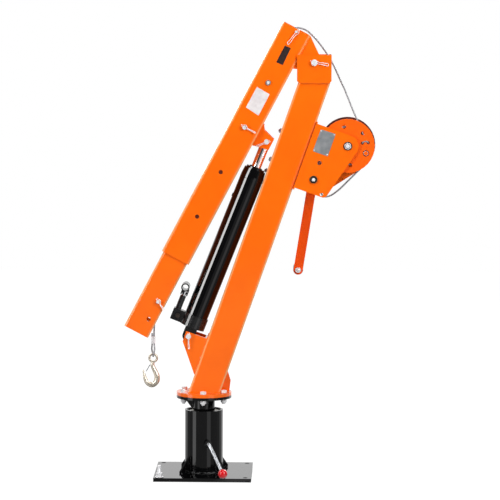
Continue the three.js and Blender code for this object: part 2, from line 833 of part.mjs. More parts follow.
function buildMast() {
  const past = mastWidth;
  const tubeTop = mastTopAlong + past;
  let tube = squareTube(mastWidth, tubeWall, tubeCorner, 0, -past, tubeTop);
  const wide = mastHeight;
  const below = new THREE.BoxGeometry(wide, wide, past * 2).translate(0, 0, seatGap - past);
  const above = new THREE.BoxGeometry(wide, wide, past * 2).translate(0, 0, mastHeight + past);
  above.translate(mastHeight * Math.tan(mastLean), 0, 0);
  tube = cut(tube, solid(below.rotateY(-mastLean)), solid(above.rotateY(-mastLean)));
  winchBoltAlong.forEach((along, i) => {
    const holeRadius = winchBoltRadius + pinGap;
    const hole = barX(holeRadius, -mastWidth, mastWidth, winchBoltAcross[i], along, smallSides);
    tube = cut(tube, hole);
  });
  addPiece(mast, "mast_tube", tube, orange);

  const faceAt = (height) => mastFootX + height * Math.tan(mastLean) + mastFace / Math.cos(mastLean);
  const gusset = outline([
    [faceAt(seatGap), mastFootZ + seatGap],
    [mastFootFace + mastGussetToeReach, mastFootZ + seatGap],
    [mastFootFace + mastGussetKneeReach, mastFootZ + mastGussetKneeHeight],
    [faceAt(mastGussetHeight), mastFootZ + mastGussetHeight],
  ]);
  addPiece(crane, "mast_gusset", plateY(gusset, -gussetThickness / 2, gussetThickness / 2), orange);

  const ear = outline([
    [-mastFace, jackLugLow],
    [-mastFace, jackLugHigh],
    [-mastHalf - jackLugTipReach, jackLugTipHigh],
    [-mastHalf - jackLugTipReach, jackLugTipLow],
  ]);
  const footX = -mastHalf - jackFootReach;
  const outer = jackLugInner + lugThickness;
  const ears = join(
    plateY(ear, -outer, -jackLugInner),
    plateY(ear, jackLugInner, outer),
    block([-mastFace - lugThickness, -outer, jackLugStrapLow], [-mastFace, outer, jackLugHigh]),
  );
  const pinHole = barY(jackPinRadius + pinGap, -mastWidth, mastWidth, footX, jackFootAlong, smallSides);
  addPiece(mast, "mast_jack_lug", cut(ears, pinHole), orange);
  const footPin = clevisPin(jackPinRadius, jackPinHeadRadius, outer, footX, jackFootAlong);
  addPiece(mast, "jack_foot_pin", footPin, zinc);
}

// The head bracket stands upright on the mast's level top
function buildHead() {
  const low = mastTopZ + seatGap;
  const outer = headInner + headThickness;
  const cheek = outline([
    [mastTopX - headHalfWidth + headChamfer, low],
    [mastTopX + headHalfWidth - headChamfer, low],
    [mastTopX + headHalfWidth, low + headChamfer],
    [mastTopX + headHalfWidth, low + headHeight],
    [mastTopX - headHalfWidth, low + headHeight],
    [mastTopX - headHalfWidth, low + headChamfer],
  ]);
  const web = [mastTopX - headHalfWidth + headChamfer, mastTopX + headHalfWidth - headChamfer];
  const bracket = join(
    plateY(cheek, -outer, -headInner),
    plateY(cheek, headInner, outer),
    block([web[0], -outer, low], [web[1], outer, low + headThickness]),
  );
  const hole = barY(pivotPinRadius + pinGap, -mastWidth, mastWidth, pivot.x, pivot.z);
  addPiece(crane, "head_bracket", cut(bracket, hole), orange);
  const pin = clevisPin(pivotPinRadius, pivotPinHeadRadius, outer, pivot.x, pivot.z);
  addPiece(crane, "boom_pivot_pin", pin, zinc);
}

const boom = new THREE.Group();
boom.position.copy(pivot);
boom.rotation.y = boomRest;
crane.add(boom);

function buildBoom() {
  const half = boomWidth / 2;
  const across = (radius, x, z) => barY(radius, -boomWidth, boomWidth, x, z, smallSides);
  let tube = squareTube(boomWidth, tubeWall, tubeCorner, boomX, boomLow, boomTail);
  for (let i = -boomHolesAbove; i <= boomHolesBelow; i++) {
    tube = cut(tube, across(boomHoleRadius, boomX, -lockPinAlong - i * boomHolePitch));
  }
  tube = cut(tube, across(rearPinRadius + pinGap, rearRollerX, rearRollerZ));
  addPiece(boom, "boom_tube", tube, orange);

  const lug = new THREE.Shape();
  const faceX = boomFaceX + seatGap;
  const high = boomTail - seatGap;
  const start = tangentAngle(faceX, high, 0, 0, pivotLugRadius, -1);
  const end = tangentAngle(faceX, -pivotLugLow, 0, 0, pivotLugRadius, 1);
  lug.moveTo(faceX, -pivotLugLow);
  lug.lineTo(faceX, high);
  lug.absarc(0, 0, pivotLugRadius, start, end, true);
  const lugInner = pivotLugOuter - lugThickness;
  const sleeveHalf = headInner - runGap;
  const lugs = join(
    plateY(lug, -pivotLugOuter, -lugInner),
    plateY(lug, lugInner, pivotLugOuter),
    barY(pivotSleeveRadius, -sleeveHalf, sleeveHalf, 0, 0),
  );
  addPiece(boom, "boom_pivot_lug", cut(lugs, across(pivotPinRadius + pinGap, 0, 0)), orange);

  const lugHigh = headLugAbove - jackHeadAlong;
  const lugLow = -headLugBelow - jackHeadAlong;
  const earShape = outline([
    [faceX, lugHigh],
    [boomFaceX + headLugShoulderDrop, headLugShoulderAbove - jackHeadAlong],
    [boomFaceX + headLugDepth, headLugTipAbove - jackHeadAlong],
    [boomFaceX + headLugDepth, -headLugTipBelow - jackHeadAlong],
    [faceX, lugLow],
  ]);
  const outer = headLugInner + lugThickness;
  const ears = join(
    plateY(earShape, -outer, -headLugInner),
    plateY(earShape, headLugInner, outer),
    block([faceX, -outer, lugLow], [faceX + headLugStrap, outer, lugHigh]),
  );
  const hole = across(jackPinRadius + pinGap, jackHeadX, -jackHeadAlong);
  addPiece(boom, "boom_jack_lug", cut(ears, hole), orange);
  const nearEnd = -headLugInner - seatGap;
  const nearPin = barY(jackPinRadius, -outer - pinTail, nearEnd, jackHeadX, -jackHeadAlong, smallSides);
  const farPin = clevisPin(jackPinRadius, jackPinHeadRadius, outer, jackHeadX, -jackHeadAlong);
  const nearSide = block([boomX, -boomWidth, -boomLength], [boomWidth, headLugInner + seatGap, 0]);
  addPiece(boom, "jack_head_pin_near", nearPin, zinc);
  addPiece(boom, "jack_head_pin_far", cut(farPin, nearSide), zinc);

  const boltZ = boomHolePitch - lockPinAlong;
  const boltLow = half + seatGap;
  const bolt = join(
    barY(lockPinRadius, -boltLow, boltLow, boomX, boltZ, smallSides),
    barY(stopBoltHeadRadius, -boltLow - stopBoltHeadHeight, -boltLow, boomX, boltZ, hexSides),
    barY(stopBoltHeadRadius, boltLow, boltLow + stopBoltHeadHeight, boomX, boltZ, hexSides),
  );
  addPiece(boom, "stop_bolt", bolt, zinc);
  const lockPin = clevisPin(lockPinRadius, lockPinHeadRadius, half, boomX, -lockPinAlong);
  addPiece(boom, "lock_pin", lockPin, zinc);
  const rearPin = clevisPin(rearPinRadius, rearPinHeadRadius, half, rearRollerX, rearRollerZ);
  addPiece(boom, "rear_roller_pin", rearPin, zinc);
  const rollerHalf = boomInnerHalf - runGap;
  const bore = rearPinRadius + pinGap;
  const roller = ringY(rearRollerRadius, bore, -rollerHalf, rollerHalf, rearRollerX, rearRollerZ);
  addPiece(boom, "rear_roller", roller, zinc);
}

function buildExtension() {
  const innerHalf = innerWidth / 2;
  const across = (radius, x, z) => barY(radius, -boomWidth, boomWidth, x, z, smallSides);
  const rear = -lockPinAlong + innerRearPast;
  const notch = lockPinRadius + pinGap;
  const tube = cut(
    squareTube(innerWidth, tubeWall, innerCorner, boomX, innerLow, rear),
    across(notch, boomX, -lockPinAlong),
    block([boomX - notch, -boomWidth, -lockPinAlong], [boomX + notch, boomWidth, rear + cutOver]),
    across(tipPinRadius + pinGap, tipPinX, tipPinZ),
    across(tipHoleRadius, tipPinX, innerLow + tipHoleInset),
    block(
      [boomX + innerHalf - tubeWall - cutOver, -tipSlotHalf, innerLow - cutOver],
      [boomX + innerHalf + cutOver, tipSlotHalf, tipPinZ + tipSlotPast],
    ),
  );
  addPiece(boom, "extension_tube", tube, orange);
  const tipPin = clevisPin(tipPinRadius, tipPinHeadRadius, innerHalf, tipPinX, tipPinZ);
  addPiece(boom, "tip_roller_pin", tipPin, zinc);
  const rollerHalf = innerHalf - tubeWall - runGap;
  const roller = ringY(tipRollerRadius, tipPinRadius + pinGap, -rollerHalf, rollerHalf, tipPinX, tipPinZ);
  addPiece(boom, "tip_roller", roller, zinc);
}

const jack = new THREE.Group();
jack.position.copy(jackFoot);
jack.rotation.y = jackLean;
crane.add(jack);

function buildJack() {
  const bore = jackRadius - jackWall;
  const rodBore = ramRadius + pinGap;
  const cylinder = turned([
    [jackRadius, jackBaseTop + seatGap],
    [jackRadius, jackShoulder],
    [jackTaperRadius, jackTaperTop],
    [jackGlandRadius, jackTaperTop],
    [jackGlandRadius, jackGlandTop],
    [rodBore, jackGlandTop],
    [rodBore, jackGlandTop - jackGlandDepth],
    [bore, jackGlandTop - jackGlandDepth],
    [bore, jackBaseTop + seatGap],
  ], bigSides);
  addPiece(jack, "jack_cylinder", cylinder, black);

  const eyeHalf = jackLugInner - runGap;
  const blockLow = jackBaseLow + runGap;
  const postBack = pumpPivotBack + pumpPostHalf;
  const base = cut(
    join(
      barZ(jackBaseRadius, jackBaseLow, jackBaseTop, 0, 0, bigSides),
      barY(jackEyeRadius, -eyeHalf, eyeHalf, 0, 0),
      block([-jackEyeRadius, -eyeHalf, 0], [jackEyeRadius, eyeHalf, jackBaseLow + runGap]),
      block([-pumpBlockReach, -pumpBlockHalf, blockLow], [-jackEyeRadius, postBack, jackBaseTop - runGap]),
      barZ(pumpCylinderRadius, jackBaseTop - cutOver, pumpCylinderTop, -pumpReach, 0, smallSides),
      block(
        [-pumpReach - pumpPostHalf, pumpPivotBack - pumpPostHalf, jackBaseTop - cutOver],
        [-pumpReach + pumpPostHalf, postBack, pumpPivotHeight + pumpPostHalf],
      ),
    ),
    barY(jackPinRadius + pinGap, -mastWidth, mastWidth, 0, 0, smallSides),
    barZ(pumpPistonRadius + pinGap, pumpPistonLow - cutOver, pumpPistonTop, -pumpReach, 0, smallSides),
    barX(pumpPinRadius + pinGap, -pumpBlockReach, 0, pumpPivotBack, pumpPivotHeight, boltSides),
  );
  addPiece(jack, "jack_base", base, black);

  const headLow = jackLength - ramHeadBelow;
  const headHigh = jackLength + ramHeadAbove;
  const headHalf = headLugInner - runGap;
  const ram = join(
    barZ(ramRadius, ramFoot, headLow + ramHeadBelow / 2, 0, 0),
    barZ(bore - runGap, ramFoot, ramFoot + ramPistonHeight, 0, 0),
    block([-ramHeadHalf, -headHalf, headLow], [ramHeadHalf, headHalf, headHigh]),
  );
  const eye = barY(jackPinRadius + pinGap, -mastWidth, mastWidth, 0, jackLength, smallSides);
  addPiece(jack, "jack_ram", cut(ram, eye), chrome);

  const piston = cut(
    barZ(pumpPistonRadius, pumpPistonLow, pumpPistonTop, -pumpReach, 0, smallSides),
    barX(pumpEyeRadius, -pumpBlockReach, 0, pumpEyeBack, pumpPivotHeight, boltSides),
  );
  addPiece(jack, "pump_piston", piston, chrome);

  const cheekIn = pumpPistonRadius + runGap;
  const cheekOut = cheekIn + leverCheek;
  const socketX = -pumpReach - socketAside;
  const socketLow = socketHeight - socketBore - cutOver;
  const leverBack = pumpPivotBack + leverBackPast;
  const cheekBlock = (x0, x1) =>
    block([x0, -leverBackPast, leverLow], [x1, leverBack, socketLow + cutOver]);
  const pinLow = -pumpReach - cheekOut;
  const pinHigh = -pumpReach + cheekOut;
  const lever = join(
    ringY(socketRadius, socketBore, -socketFront, socketBack, socketX, socketHeight),
    block([pinLow, -leverBackPast, socketLow - cutOver], [pinHigh, socketBack, socketLow + runGap]),
    cheekBlock(-pumpReach - cheekOut, -pumpReach - cheekIn),
    cheekBlock(-pumpReach + cheekIn, -pumpReach + cheekOut),
    barX(pumpPinRadius, pinLow, pinHigh, 0, pumpPivotHeight, boltSides),
    barX(pumpPinRadius, pinLow, pinHigh, pumpPivotBack, pumpPivotHeight, boltSides),
  );
  addPiece(jack, "pump_lever", lever, black);

  const stemBack = -pumpBlockHalf - seatGap;
  const knobBack = stemBack - valveStemLength;
  const valve = join(
    barY(valveStemRadius, knobBack, stemBack, -valveAside, valveHeight, boltSides),
    barY(valveKnobRadius, knobBack - valveKnobLength, knobBack, -valveAside, valveHeight, boltSides),
  );
  addPiece(jack, "release_valve", valve, darkSteel);
}

// A side plate of the winch: a foot on the web and a round nose about the drum's shaft
function sidePlateShape(low, high, noseX, noseZ, nose) {
  const shape = new THREE.Shape();
  const toeX = webBack + winchToeReach + winchToeCorner;
  const toeZ = low + winchToeCorner;
  shape.moveTo(webBack, low);
  shape.lineTo(webBack + winchToeReach, low);
  shape.quadraticCurveTo(toeX - winchToeCorner * toeBendShare, low, toeX, toeZ);
  const start = tangentAngle(toeX, toeZ, noseX, noseZ, nose, 1);
  const top = high - noseZ;
  const end = top >= nose ? Math.PI / 2 : Math.PI - Math.asin(top / nose);
  shape.absarc(noseX, noseZ, nose, start, end, false);
  shape.lineTo(webBack, high);
  return shape;
}

function buildWinchFrame() {
  const web = block(
    [webBack, -winchHalf, winchLow - winchTab],
    [webFront, winchHalf, winchHigh + winchTab],
  );
  const nearShape = sidePlateShape(winchLow, drumAlong + winchNose, drumX, drumAlong, winchNose);
  const farLow = drumAlong - farBelow;
  const farHigh = drumAlong + farAbove;
  const farShape = sidePlateShape(farLow, farHigh, drumX, drumAlong - farNoseDrop, farNose);
  const through = (radius, x, z) =>
    barY(radius, -winchHalf - cutOver, winchHalf + cutOver, x, z, smallSides);
  const half = (radius, y0, y1, x, z) => barY(radius, y0, y1, x, z, smallSides);
  const stud = pawlStud();
  let frame = join(
    web,
    plateY(nearShape, -winchHalf, -farPlateY),
    plateY(farShape, farPlateY, winchHalf),
  );
  frame = cut(
    frame,
    through(drumShaftRadius + pinGap, drumX, drumAlong),
    through(crankShaftRadius + pinGap, crankX, crankZ),
    half(spareHoleRadius, -winchHalf - cutOver, 0, idlerX, idlerZ),
    half(toeHoleRadius, -winchHalf - cutOver, 0, webBack + toeHoleReach, winchLow + toeHoleInset),
    half(idlerAxleRadius + pinGap, 0, winchHalf + cutOver, idlerX, idlerZ),
  );
  winchBoltAlong.forEach((along, i) => {
    const holeRadius = winchBoltRadius + pinGap;
    frame = cut(frame, barX(holeRadius, 0, mastWidth, winchBoltAcross[i], along, smallSides));
  });
  const studEnd = winchHalf + ratchetWidth + 2 * runGap;
  frame = join(frame, half(pawlStudRadius, farPlateY + runGap, studEnd, stud.x, stud.z));
  addPiece(mast, "winch_frame", frame, orange);

  winchBoltAlong.forEach((along, i) => {
    const across = winchBoltAcross[i];
    const tail = -mastFace - winchBoltTail;
    const headLow = webFront + seatGap;
    const bolt = join(
      barX(winchBoltRadius, tail, headLow + winchBoltHeadHeight / 2, across, along, boltSides),
      barX(winchBoltHeadRadius, headLow, headLow + winchBoltHeadHeight, across, along, hexSides),
      barX(winchBoltHeadRadius, -mastFace - winchNutHeight, -mastFace, across, along, hexSides),
    );
    addPiece(mast, "winch_bolt_" + (i + 1), bolt, zinc);
  });

  const nutLow = winchHalf + seatGap;
  const nutHigh = nutLow + drumNutHeight;
  const shaft = join(
    barY(drumShaftRadius, -nutHigh - runGap, nutHigh + drumShaftTail, drumX, drumAlong, smallSides),
    barY(drumNutRadius, -nutHigh, -nutLow, drumX, drumAlong, hexSides),
    barY(drumNutRadius, nutLow, nutLow + drumNutHeight, drumX, drumAlong, hexSides),
  );
  addPiece(mast, "drum_shaft", shaft, zinc);

  const collarLow = drumGearY - runGap - idlerCollarWidth;
  const axle = join(
    barY(idlerAxleRadius, collarLow, nutLow + idlerNutHeight, idlerX, idlerZ, smallSides),
    barY(idlerCollarRadius, collarLow, collarLow + idlerCollarWidth, idlerX, idlerZ, smallSides),
    barY(idlerNutRadius, nutLow, nutLow + idlerNutHeight, idlerX, idlerZ, hexSides),
  );
  addPiece(mast, "idler_axle", axle, zinc);
}

function pawlStud() {
  return {
    x: crankX + pawlReach * Math.cos(pawlAngle),
    z: crankZ + pawlReach * Math.sin(pawlAngle),
  };
}

// The drum turns on its shaft between the near flange and the gear
function buildDrum() {
  const barrelLow = drumFlangeY + drumFlangeThickness;
  const barrelHigh = drumGearY - seatGap;
  const hole = (radius, x, z) =>
    barY(radius, drumFlangeY - cutOver, drumGearY + drumGearWidth + cutOver, x, z, smallSides);
  const barrelBore = drumBarrelRadius - drumBarrelWall;
  const barrelStart = barrelLow - runGap;
  const barrel = ringY(
    drumBarrelRadius,
    barrelBore,
    barrelStart,
    barrelHigh,
    drumX,
    drumAlong,
    bigSides,
  );
  const farFlange = ringY(
    drumFarFlangeRadius,
    barrelBore,
    barrelHigh - drumFarFlangeThickness,
    barrelHigh,
    drumX,
    drumAlong,
    bigSides,
  );
  let drum = join(
    barY(drumFlangeRadius, drumFlangeY, barrelLow, drumX, drumAlong, bigSides),
    barrel,
    farFlange,
    barY(drumHubRadius, drumFlangeY, barrelHigh, drumX, drumAlong),
  );
  drum = cut(drum, hole(drumShaftRadius + pinGap, drumX, drumAlong));
  drumHoleAngles.forEach((angle) => {
    const x = drumX + drumHoleCircle * Math.cos(angle + mastLean);
    const z = drumAlong + drumHoleCircle * Math.sin(angle + mastLean);
    drum = cut(drum, barY(drumHoleRadius, drumFlangeY - cutOver, barrelLow + runGap, x, z, smallSides));
  });
  const clampX = drumX + drumHoleCircle * Math.cos(clampAngle + mastLean);
  const clampZ = drumAlong + drumHoleCircle * Math.sin(clampAngle + mastLean);
  const clampTop = drumFlangeY - clampHeight;
  drum = join(drum, barY(clampRadius, clampTop, drumFlangeY + runGap, clampX, clampZ, hexSides));
  addPiece(mast, "winch_drum", drum, orange);

  const shape = gearShape(drumTeeth, idlerAngle, drumShaftRadius + pinGap, drumX, drumAlong);
  addPiece(mast, "drum_gear", plateY(shape, drumGearY, drumGearY + drumGearWidth), darkSteel);
}

function buildTrain() {
  const bore = idlerAxleRadius + pinGap;
  const pinionPhase = idlerAngle + Math.PI + Math.PI / idlerPinionTeeth;
  const pinion = gearShape(idlerPinionTeeth, pinionPhase, bore, idlerX, idlerZ);
  const gear = gearShape(idlerGearTeeth, crankAngle, bore, idlerX, idlerZ);
  const idler = join(
    plateY(pinion, drumGearY, idlerGearY + runGap),
    plateY(gear, idlerGearY, idlerGearY + idlerGearWidth),
  );
  addPiece(mast, "idler_gear", idler, darkSteel);

  const crankPhase = crankAngle + Math.PI + Math.PI / crankTeeth;
  const crankPinion = gearShape(crankTeeth, crankPhase, 0, crankX, crankZ);
  const armBack = crankArmY + crankArmThickness;
  const tail = -winchHalf - crankShaftTail;
  const shaft = join(
    barY(crankShaftRadius, tail, armBack + crankBoltHeight / 2, crankX, crankZ, smallSides),
    plateY(crankPinion, idlerGearY, idlerGearY + idlerGearWidth),
    barY(crankHubRadius - cutOver, armBack + seatGap, armBack + crankBoltHeight, crankX, crankZ, hexSides),
  );
  addPiece(mast, "crank_shaft", shaft, zinc);

  const teeth = [];
  for (let i = 0; i < ratchetTeeth; i++) {
    const angle = (fullTurn * i) / ratchetTeeth;
    teeth.push([crankX + ratchetRadius * Math.cos(angle), crankZ + ratchetRadius * Math.sin(angle)]);
    const inner = ratchetRadius - ratchetDepth;
    teeth.push([crankX + inner * Math.cos(angle), crankZ + inner * Math.sin(angle)]);
  }
  const ratchetY = winchHalf + runGap;
  const wheel = cut(
    plateY(outline(teeth), ratchetY, ratchetY + ratchetWidth),
    barY(crankShaftRadius + seatGap, winchHalf, crankArmY, crankX, crankZ, smallSides),
  );
  addPiece(mast, "ratchet_wheel", wheel, darkSteel);

  const stud = pawlStud();
  const reach = pawlReach - ratchetRadius - pawlClear;
  const local = outline([
    [-reach, -pawlHalf / 2],
    [0, -pawlHalf],
    [pawlEyeRadius, 0],
    [0, pawlEyeRadius],
    [-reach + pawlHalf, pawlHalf],
  ]);
  const ratchetTop = ratchetY + ratchetWidth;
  const eye = barY(pawlEyeRadius, ratchetY, ratchetTop, 0, 0, smallSides);
  const body = geometryOf(join(plateY(local, ratchetY, ratchetTop), eye));
  body.rotateY(-pawlAngle).translate(stud.x, 0, stud.z);
  const pawlBore = barY(pawlStudRadius + pinGap, winchHalf, crankArmY, stud.x, stud.z, smallSides);
  const pawl = cut(solid(body), pawlBore);
  addPiece(mast, "pawl", pawl, darkSteel);
}

// The crank hangs upright in the part's frame, so it has a group of its own
function buildCrank() {
  const group = new THREE.Group();
  group.position.copy(leanPoint(crankX, crankZ));
  group.rotation.y = crankSwing;
  crane.add(group);
  const armBack = crankArmY + crankArmThickness;
  const shape = new THREE.Shape();
  shape.absarc(0, 0, crankHubRadius, 0, Math.PI, false);
  shape.lineTo(-crankArmHalf, -crankHubRadius);
  shape.absarc(0, -crankThrow, crankArmHalf, Math.PI, fullTurn, false);
  shape.lineTo(crankArmHalf, -crankHubRadius);
  const hubLow = winchHalf + ratchetWidth + 2 * runGap;
  const gripLow = armBack + runGap;
  const spindleEnd = gripLow + gripLength + runGap;
  const nutLow = crankArmY - spindleNutHeight;
  const arm = join(
    plateY(shape, crankArmY, armBack),
    barY(crankHubRadius, hubLow, crankArmY + runGap, 0, 0),
    barY(spindleRadius, nutLow, spindleEnd + spindleNutHeight, 0, -crankThrow, smallSides),
    barY(spindleNutRadius, nutLow, crankArmY + runGap, 0, -crankThrow, hexSides),
    barY(spindleNutRadius, spindleEnd, spindleEnd + spindleNutHeight, 0, -crankThrow, smallSides),
  );
  const bore = barY(crankShaftRadius + seatGap, winchHalf, armBack + cutOver, 0, 0, smallSides);
  addPiece(group, "crank_arm", cut(arm, bore), orange);

  const spindleBore = spindleRadius + pinGap;
  const grip = turned([
    [spindleBore, 0],
    [gripRadius, 0],
    [gripRadius, gripLength * gripCollarShare],
    [gripWaist, gripLength * gripWaistShare],
    [gripRadius, gripLength * gripSwellShare],
    [gripRadius, gripLength * gripShoulderShare],
    [gripWaist, gripLength],
    [spindleBore, gripLength],
  ]);
  const laid = geometryOf(grip).rotateX(-Math.PI / 2).translate(0, gripLow, -crankThrow);
  addPiece(group, "crank_grip", solid(laid), rubber);
}

// The outer layer of cable on the drum: one unbroken helix whose last turn leaves tangentially
function buildWinding() {
  const first = drumGearY - windingStart - cableRadius;
  const leave = cableLeaveAngle + mastLean;
  const centres = [];
  const steps = windingTurns * windingSteps;
  for (let i = 0; i <= steps; i++) {
    const turn = i / windingSteps;
    const angle = leave - (windingTurns - turn) * fullTurn;
    const y = first - windingPitch * turn;
    centres.push(new THREE.Vector3(
      drumX + windingRadius * Math.cos(angle), y, drumAlong + windingRadius * Math.sin(angle)));
  }
  const straight = 2 * cableRadius;
  const outward = new THREE.Vector3(-Math.sin(leave), 0, Math.cos(leave));
  const last = centres[centres.length - 1];
  centres.push(last.clone().addScaledVector(outward, straight));
  const startAngle = leave - windingTurns * fullTurn;
  const inward = new THREE.Vector3(Math.sin(startAngle), 0, -Math.cos(startAngle));
  centres.unshift(centres[0].clone().addScaledVector(inward, straight));

  const positions = [];
  const index = [];
  const ringAt = (centre, along) => {
    const side = new THREE.Vector3(0, 1, 0).cross(along).normalize();
    const up = along.clone().cross(side).normalize();
    for (let k = 0; k < windingSides; k++) {
      const angle = (fullTurn * k) / windingSides;
      const point = centre.clone();
      point.addScaledVector(side, cableRadius * Math.cos(angle));
      point.addScaledVector(up, cableRadius * Math.sin(angle));
      positions.push(point.x, point.y, point.z);
    }
  };
  centres.forEach((centre, i) => {
    const before = centres[Math.max(0, i - 1)];
    const after = centres[Math.min(centres.length - 1, i + 1)];
    ringAt(centre, after.clone().sub(before).normalize());
  });
  const rings = centres.length;
  for (let i = 0; i < rings - 1; i++) {
    for (let k = 0; k < windingSides; k++) {
      const next = (k + 1) % windingSides;
      const a = i * windingSides + k;
      const b = i * windingSides + next;
      const c = a + windingSides;
      const d = b + windingSides;
      index.push(a, b, d, a, d, c);
    }
  }
  for (let k = 1; k < windingSides - 1; k++) {
    const end = (rings - 1) * windingSides;
    index.push(0, k + 1, k, end, end + k, end + k + 1);
  }
  const tube = new THREE.BufferGeometry();
  tube.setAttribute("position", new THREE.Float32BufferAttribute(positions, 3));
  tube.setIndex(index);
  addPiece(mast, "cable_winding", solid(tube), cableSteel);

  // The least gap between neighbouring turns, measured on the tube's own points
  let least = Infinity;
  const turnPoints = windingSteps * windingSides;
  const vertex = (i) => new THREE.Vector3(positions[3 * i], positions[3 * i + 1], positions[3 * i + 2]);
  for (let i = 0; i < positions.length / 3 - turnPoints / 2; i++) {
    const lowest = i + turnPoints - 2 * windingSides;
    const highest = Math.min(positions.length / 3, i + turnPoints + 2 * windingSides);
    for (let k = lowest; k < highest; k++) {
      least = Math.min(least, vertex(i).distanceTo(vertex(k)));
    }
  }
  console.log("least gap between turns of the winding: " + least.toFixed(2) + " mm");
  const windingEnd = new THREE.Vector3(drumX, last.y, drumAlong);
  return windingEnd;
}

// Free and held stretches of the cable. Their points are places in the part's own frame.
function buildCable(lastTurnY) {
  const leaveX = drumCentre.x + windingRadius * Math.cos(cableLeaveAngle);
  const leaveZ = drumCentre.z + windingRadius * Math.sin(cableLeaveAngle);
  const out = 2 * cableRadius + seatGap;
  const startX = leaveX - out * Math.sin(cableLeaveAngle);
  const startZ = leaveZ + out * Math.cos(cableLeaveAngle);
  const overRoller = rearCentre.z + rearRollerRadius + seatGap + cableRadius;
  const toBoom = [
    [startX, lastTurnY, startZ],
    ...toBoomRoute,
    [rearCentre.x + runGap + 2 * cableRadius, 0, overRoller],
    [rearCentre.x + runGap, 0, overRoller],
  ];
  const route = toBoom.map((point) => new THREE.Vector3(...point));
  const freeStretch = bentBar(route, cableRadius, cableSides, cableToBoomSteps);
  addPiece(crane, "cable_to_boom", freeStretch, cableSteel);

  const reach = rearRollerRadius + seatGap + cableRadius;
  const overArc = [];
  for (const share of rollerArcShares) {
    const angle = Math.PI / 2 + boomRest + share * (Math.PI / 2 - boomRest);
    overArc.push([rearRollerX + reach * Math.cos(angle), rearRollerZ + reach * Math.sin(angle)]);
  }
  const beside = boomX - lockPinRadius - cableRadius - 2 * runGap;
  const arcEnd = overArc[overArc.length - 1];
  overArc.push([arcEnd[0], arcEnd[1] - 2 * cableRadius]);
  const inBoom = [
    [arcEnd[0], arcEnd[1] - cableRadius],
    [beside, boomHolePitch - lockPinAlong],
    [beside, -lockPinAlong],
    [beside, -lockPinAlong * 2],
    [tipPinX - cableReach - runGap, tipPinZ + innerReach * cableBendShare],
    [tipPinX - cableReach, tipPinZ + runGap],
  ];
  const flat = ([x, z]) => new THREE.Vector3(x, 0, z);
  const held = join(
    bentBar(overArc.map(flat), cableRadius, cableSides, cableArcSteps),
    bentBar(inBoom.map(flat), cableRadius, cableSides, cableInBoomSteps),
  );
  addPiece(boom, "cable_in_boom", held, cableSteel);

  // Both ends of the slack loop stand square on the winding
  const onWinding = windingRadius + cableRadius + seatGap;
  const besideDrum = (angle, radius, y) => [
    drumCentre.x + radius * Math.cos(angle), y, drumCentre.z + radius * Math.sin(angle),
  ];
  const slack = [
    besideDrum(slackFrontAngle, onWinding, slackFrontY),
    besideDrum(slackFrontAngle, onWinding + 2 * cableRadius, slackFrontY),
    ...slackRoute,
    besideDrum(slackBackAngle, onWinding + 3 * cableRadius, slackBackY),
    besideDrum(slackBackAngle, onWinding, slackBackY),
  ];
  const loopRoute = slack.map((point) => new THREE.Vector3(...point));
  const loop = bentBar(loopRoute, cableRadius, cableSides, slackSteps);
  addPiece(crane, "cable_slack", loop, cableSteel);
}

// The hook's group hangs from the tip roller's axis, straight down
function buildHook() {
  const group = new THREE.Group();
  group.position.copy(tipCentre);
  crane.add(group);
  const dropX = -cableReach;
  const ferruleX = dropX - dropAside - strandHalf;
  const ferruleLow = ferruleTop + ferruleHeight;
  const path = dropArcShares.map((share) => {
    const angle = Math.PI - boomRest * share;
    return [cableReach * Math.cos(angle), 0, cableReach * Math.sin(angle)];
  });
  path.push([dropX, 0, 0]);
  dropRoute.forEach(([x, y, z]) => path.push([ferruleX + x, y, z]));
  const points = path.map((point) => new THREE.Vector3(...point));
  addPiece(group, "cable_drop", bentBar(points, cableRadius, cableSides, dropSteps), cableSteel);
  const crimp = block(
    [ferruleX - ferruleHalfWidth, -ferruleHalfDepth, -ferruleLow],
    [ferruleX + ferruleHalfWidth, ferruleHalfDepth, -ferruleTop],
  );
  const bores = bentBar(points, cableRadius + seatGap, cableSides, dropSteps);
  addPiece(group, "ferrule", cut(crimp, bores), zinc);

  const eye = new THREE.TorusGeometry(hookEyeRadius, hookEyeThickness, eyeSides, roundSides);
  eye.rotateX(Math.PI / 2);
  const line = hookLineShares.map(([x, z]) => new THREE.Vector3(x * hookBowlDrop, 0, z * hookBowlDrop));
  const bowl = taperedBar(line, hookNeckRadius, hookRadius * hookThickShare, hookRadius * hookTipShare);
  const hook = geometryOf(join(solid(eye), bowl)).translate(ferruleX, 0, -hookEyeDrop);
  addPiece(group, "hook", solid(hook), hookZinc);

  const latchShape = outline([
    [0, 0],
    [-latchLength * latchAsideShare, -latchLength * latchDownShare],
    [-latchLength * latchAsideShare - latchThickness, -latchLength * latchTipShare],
    [-latchThickness, latchThickness],
  ]);
  const latchX = ferruleX - latchAside;
  const latchZ = -hookEyeDrop - latchDrop;
  const latch = geometryOf(plateY(latchShape, -latchHalf, latchHalf)).translate(latchX, 0, latchZ);
  addPiece(group, "hook_latch", solid(latch), zinc);
}

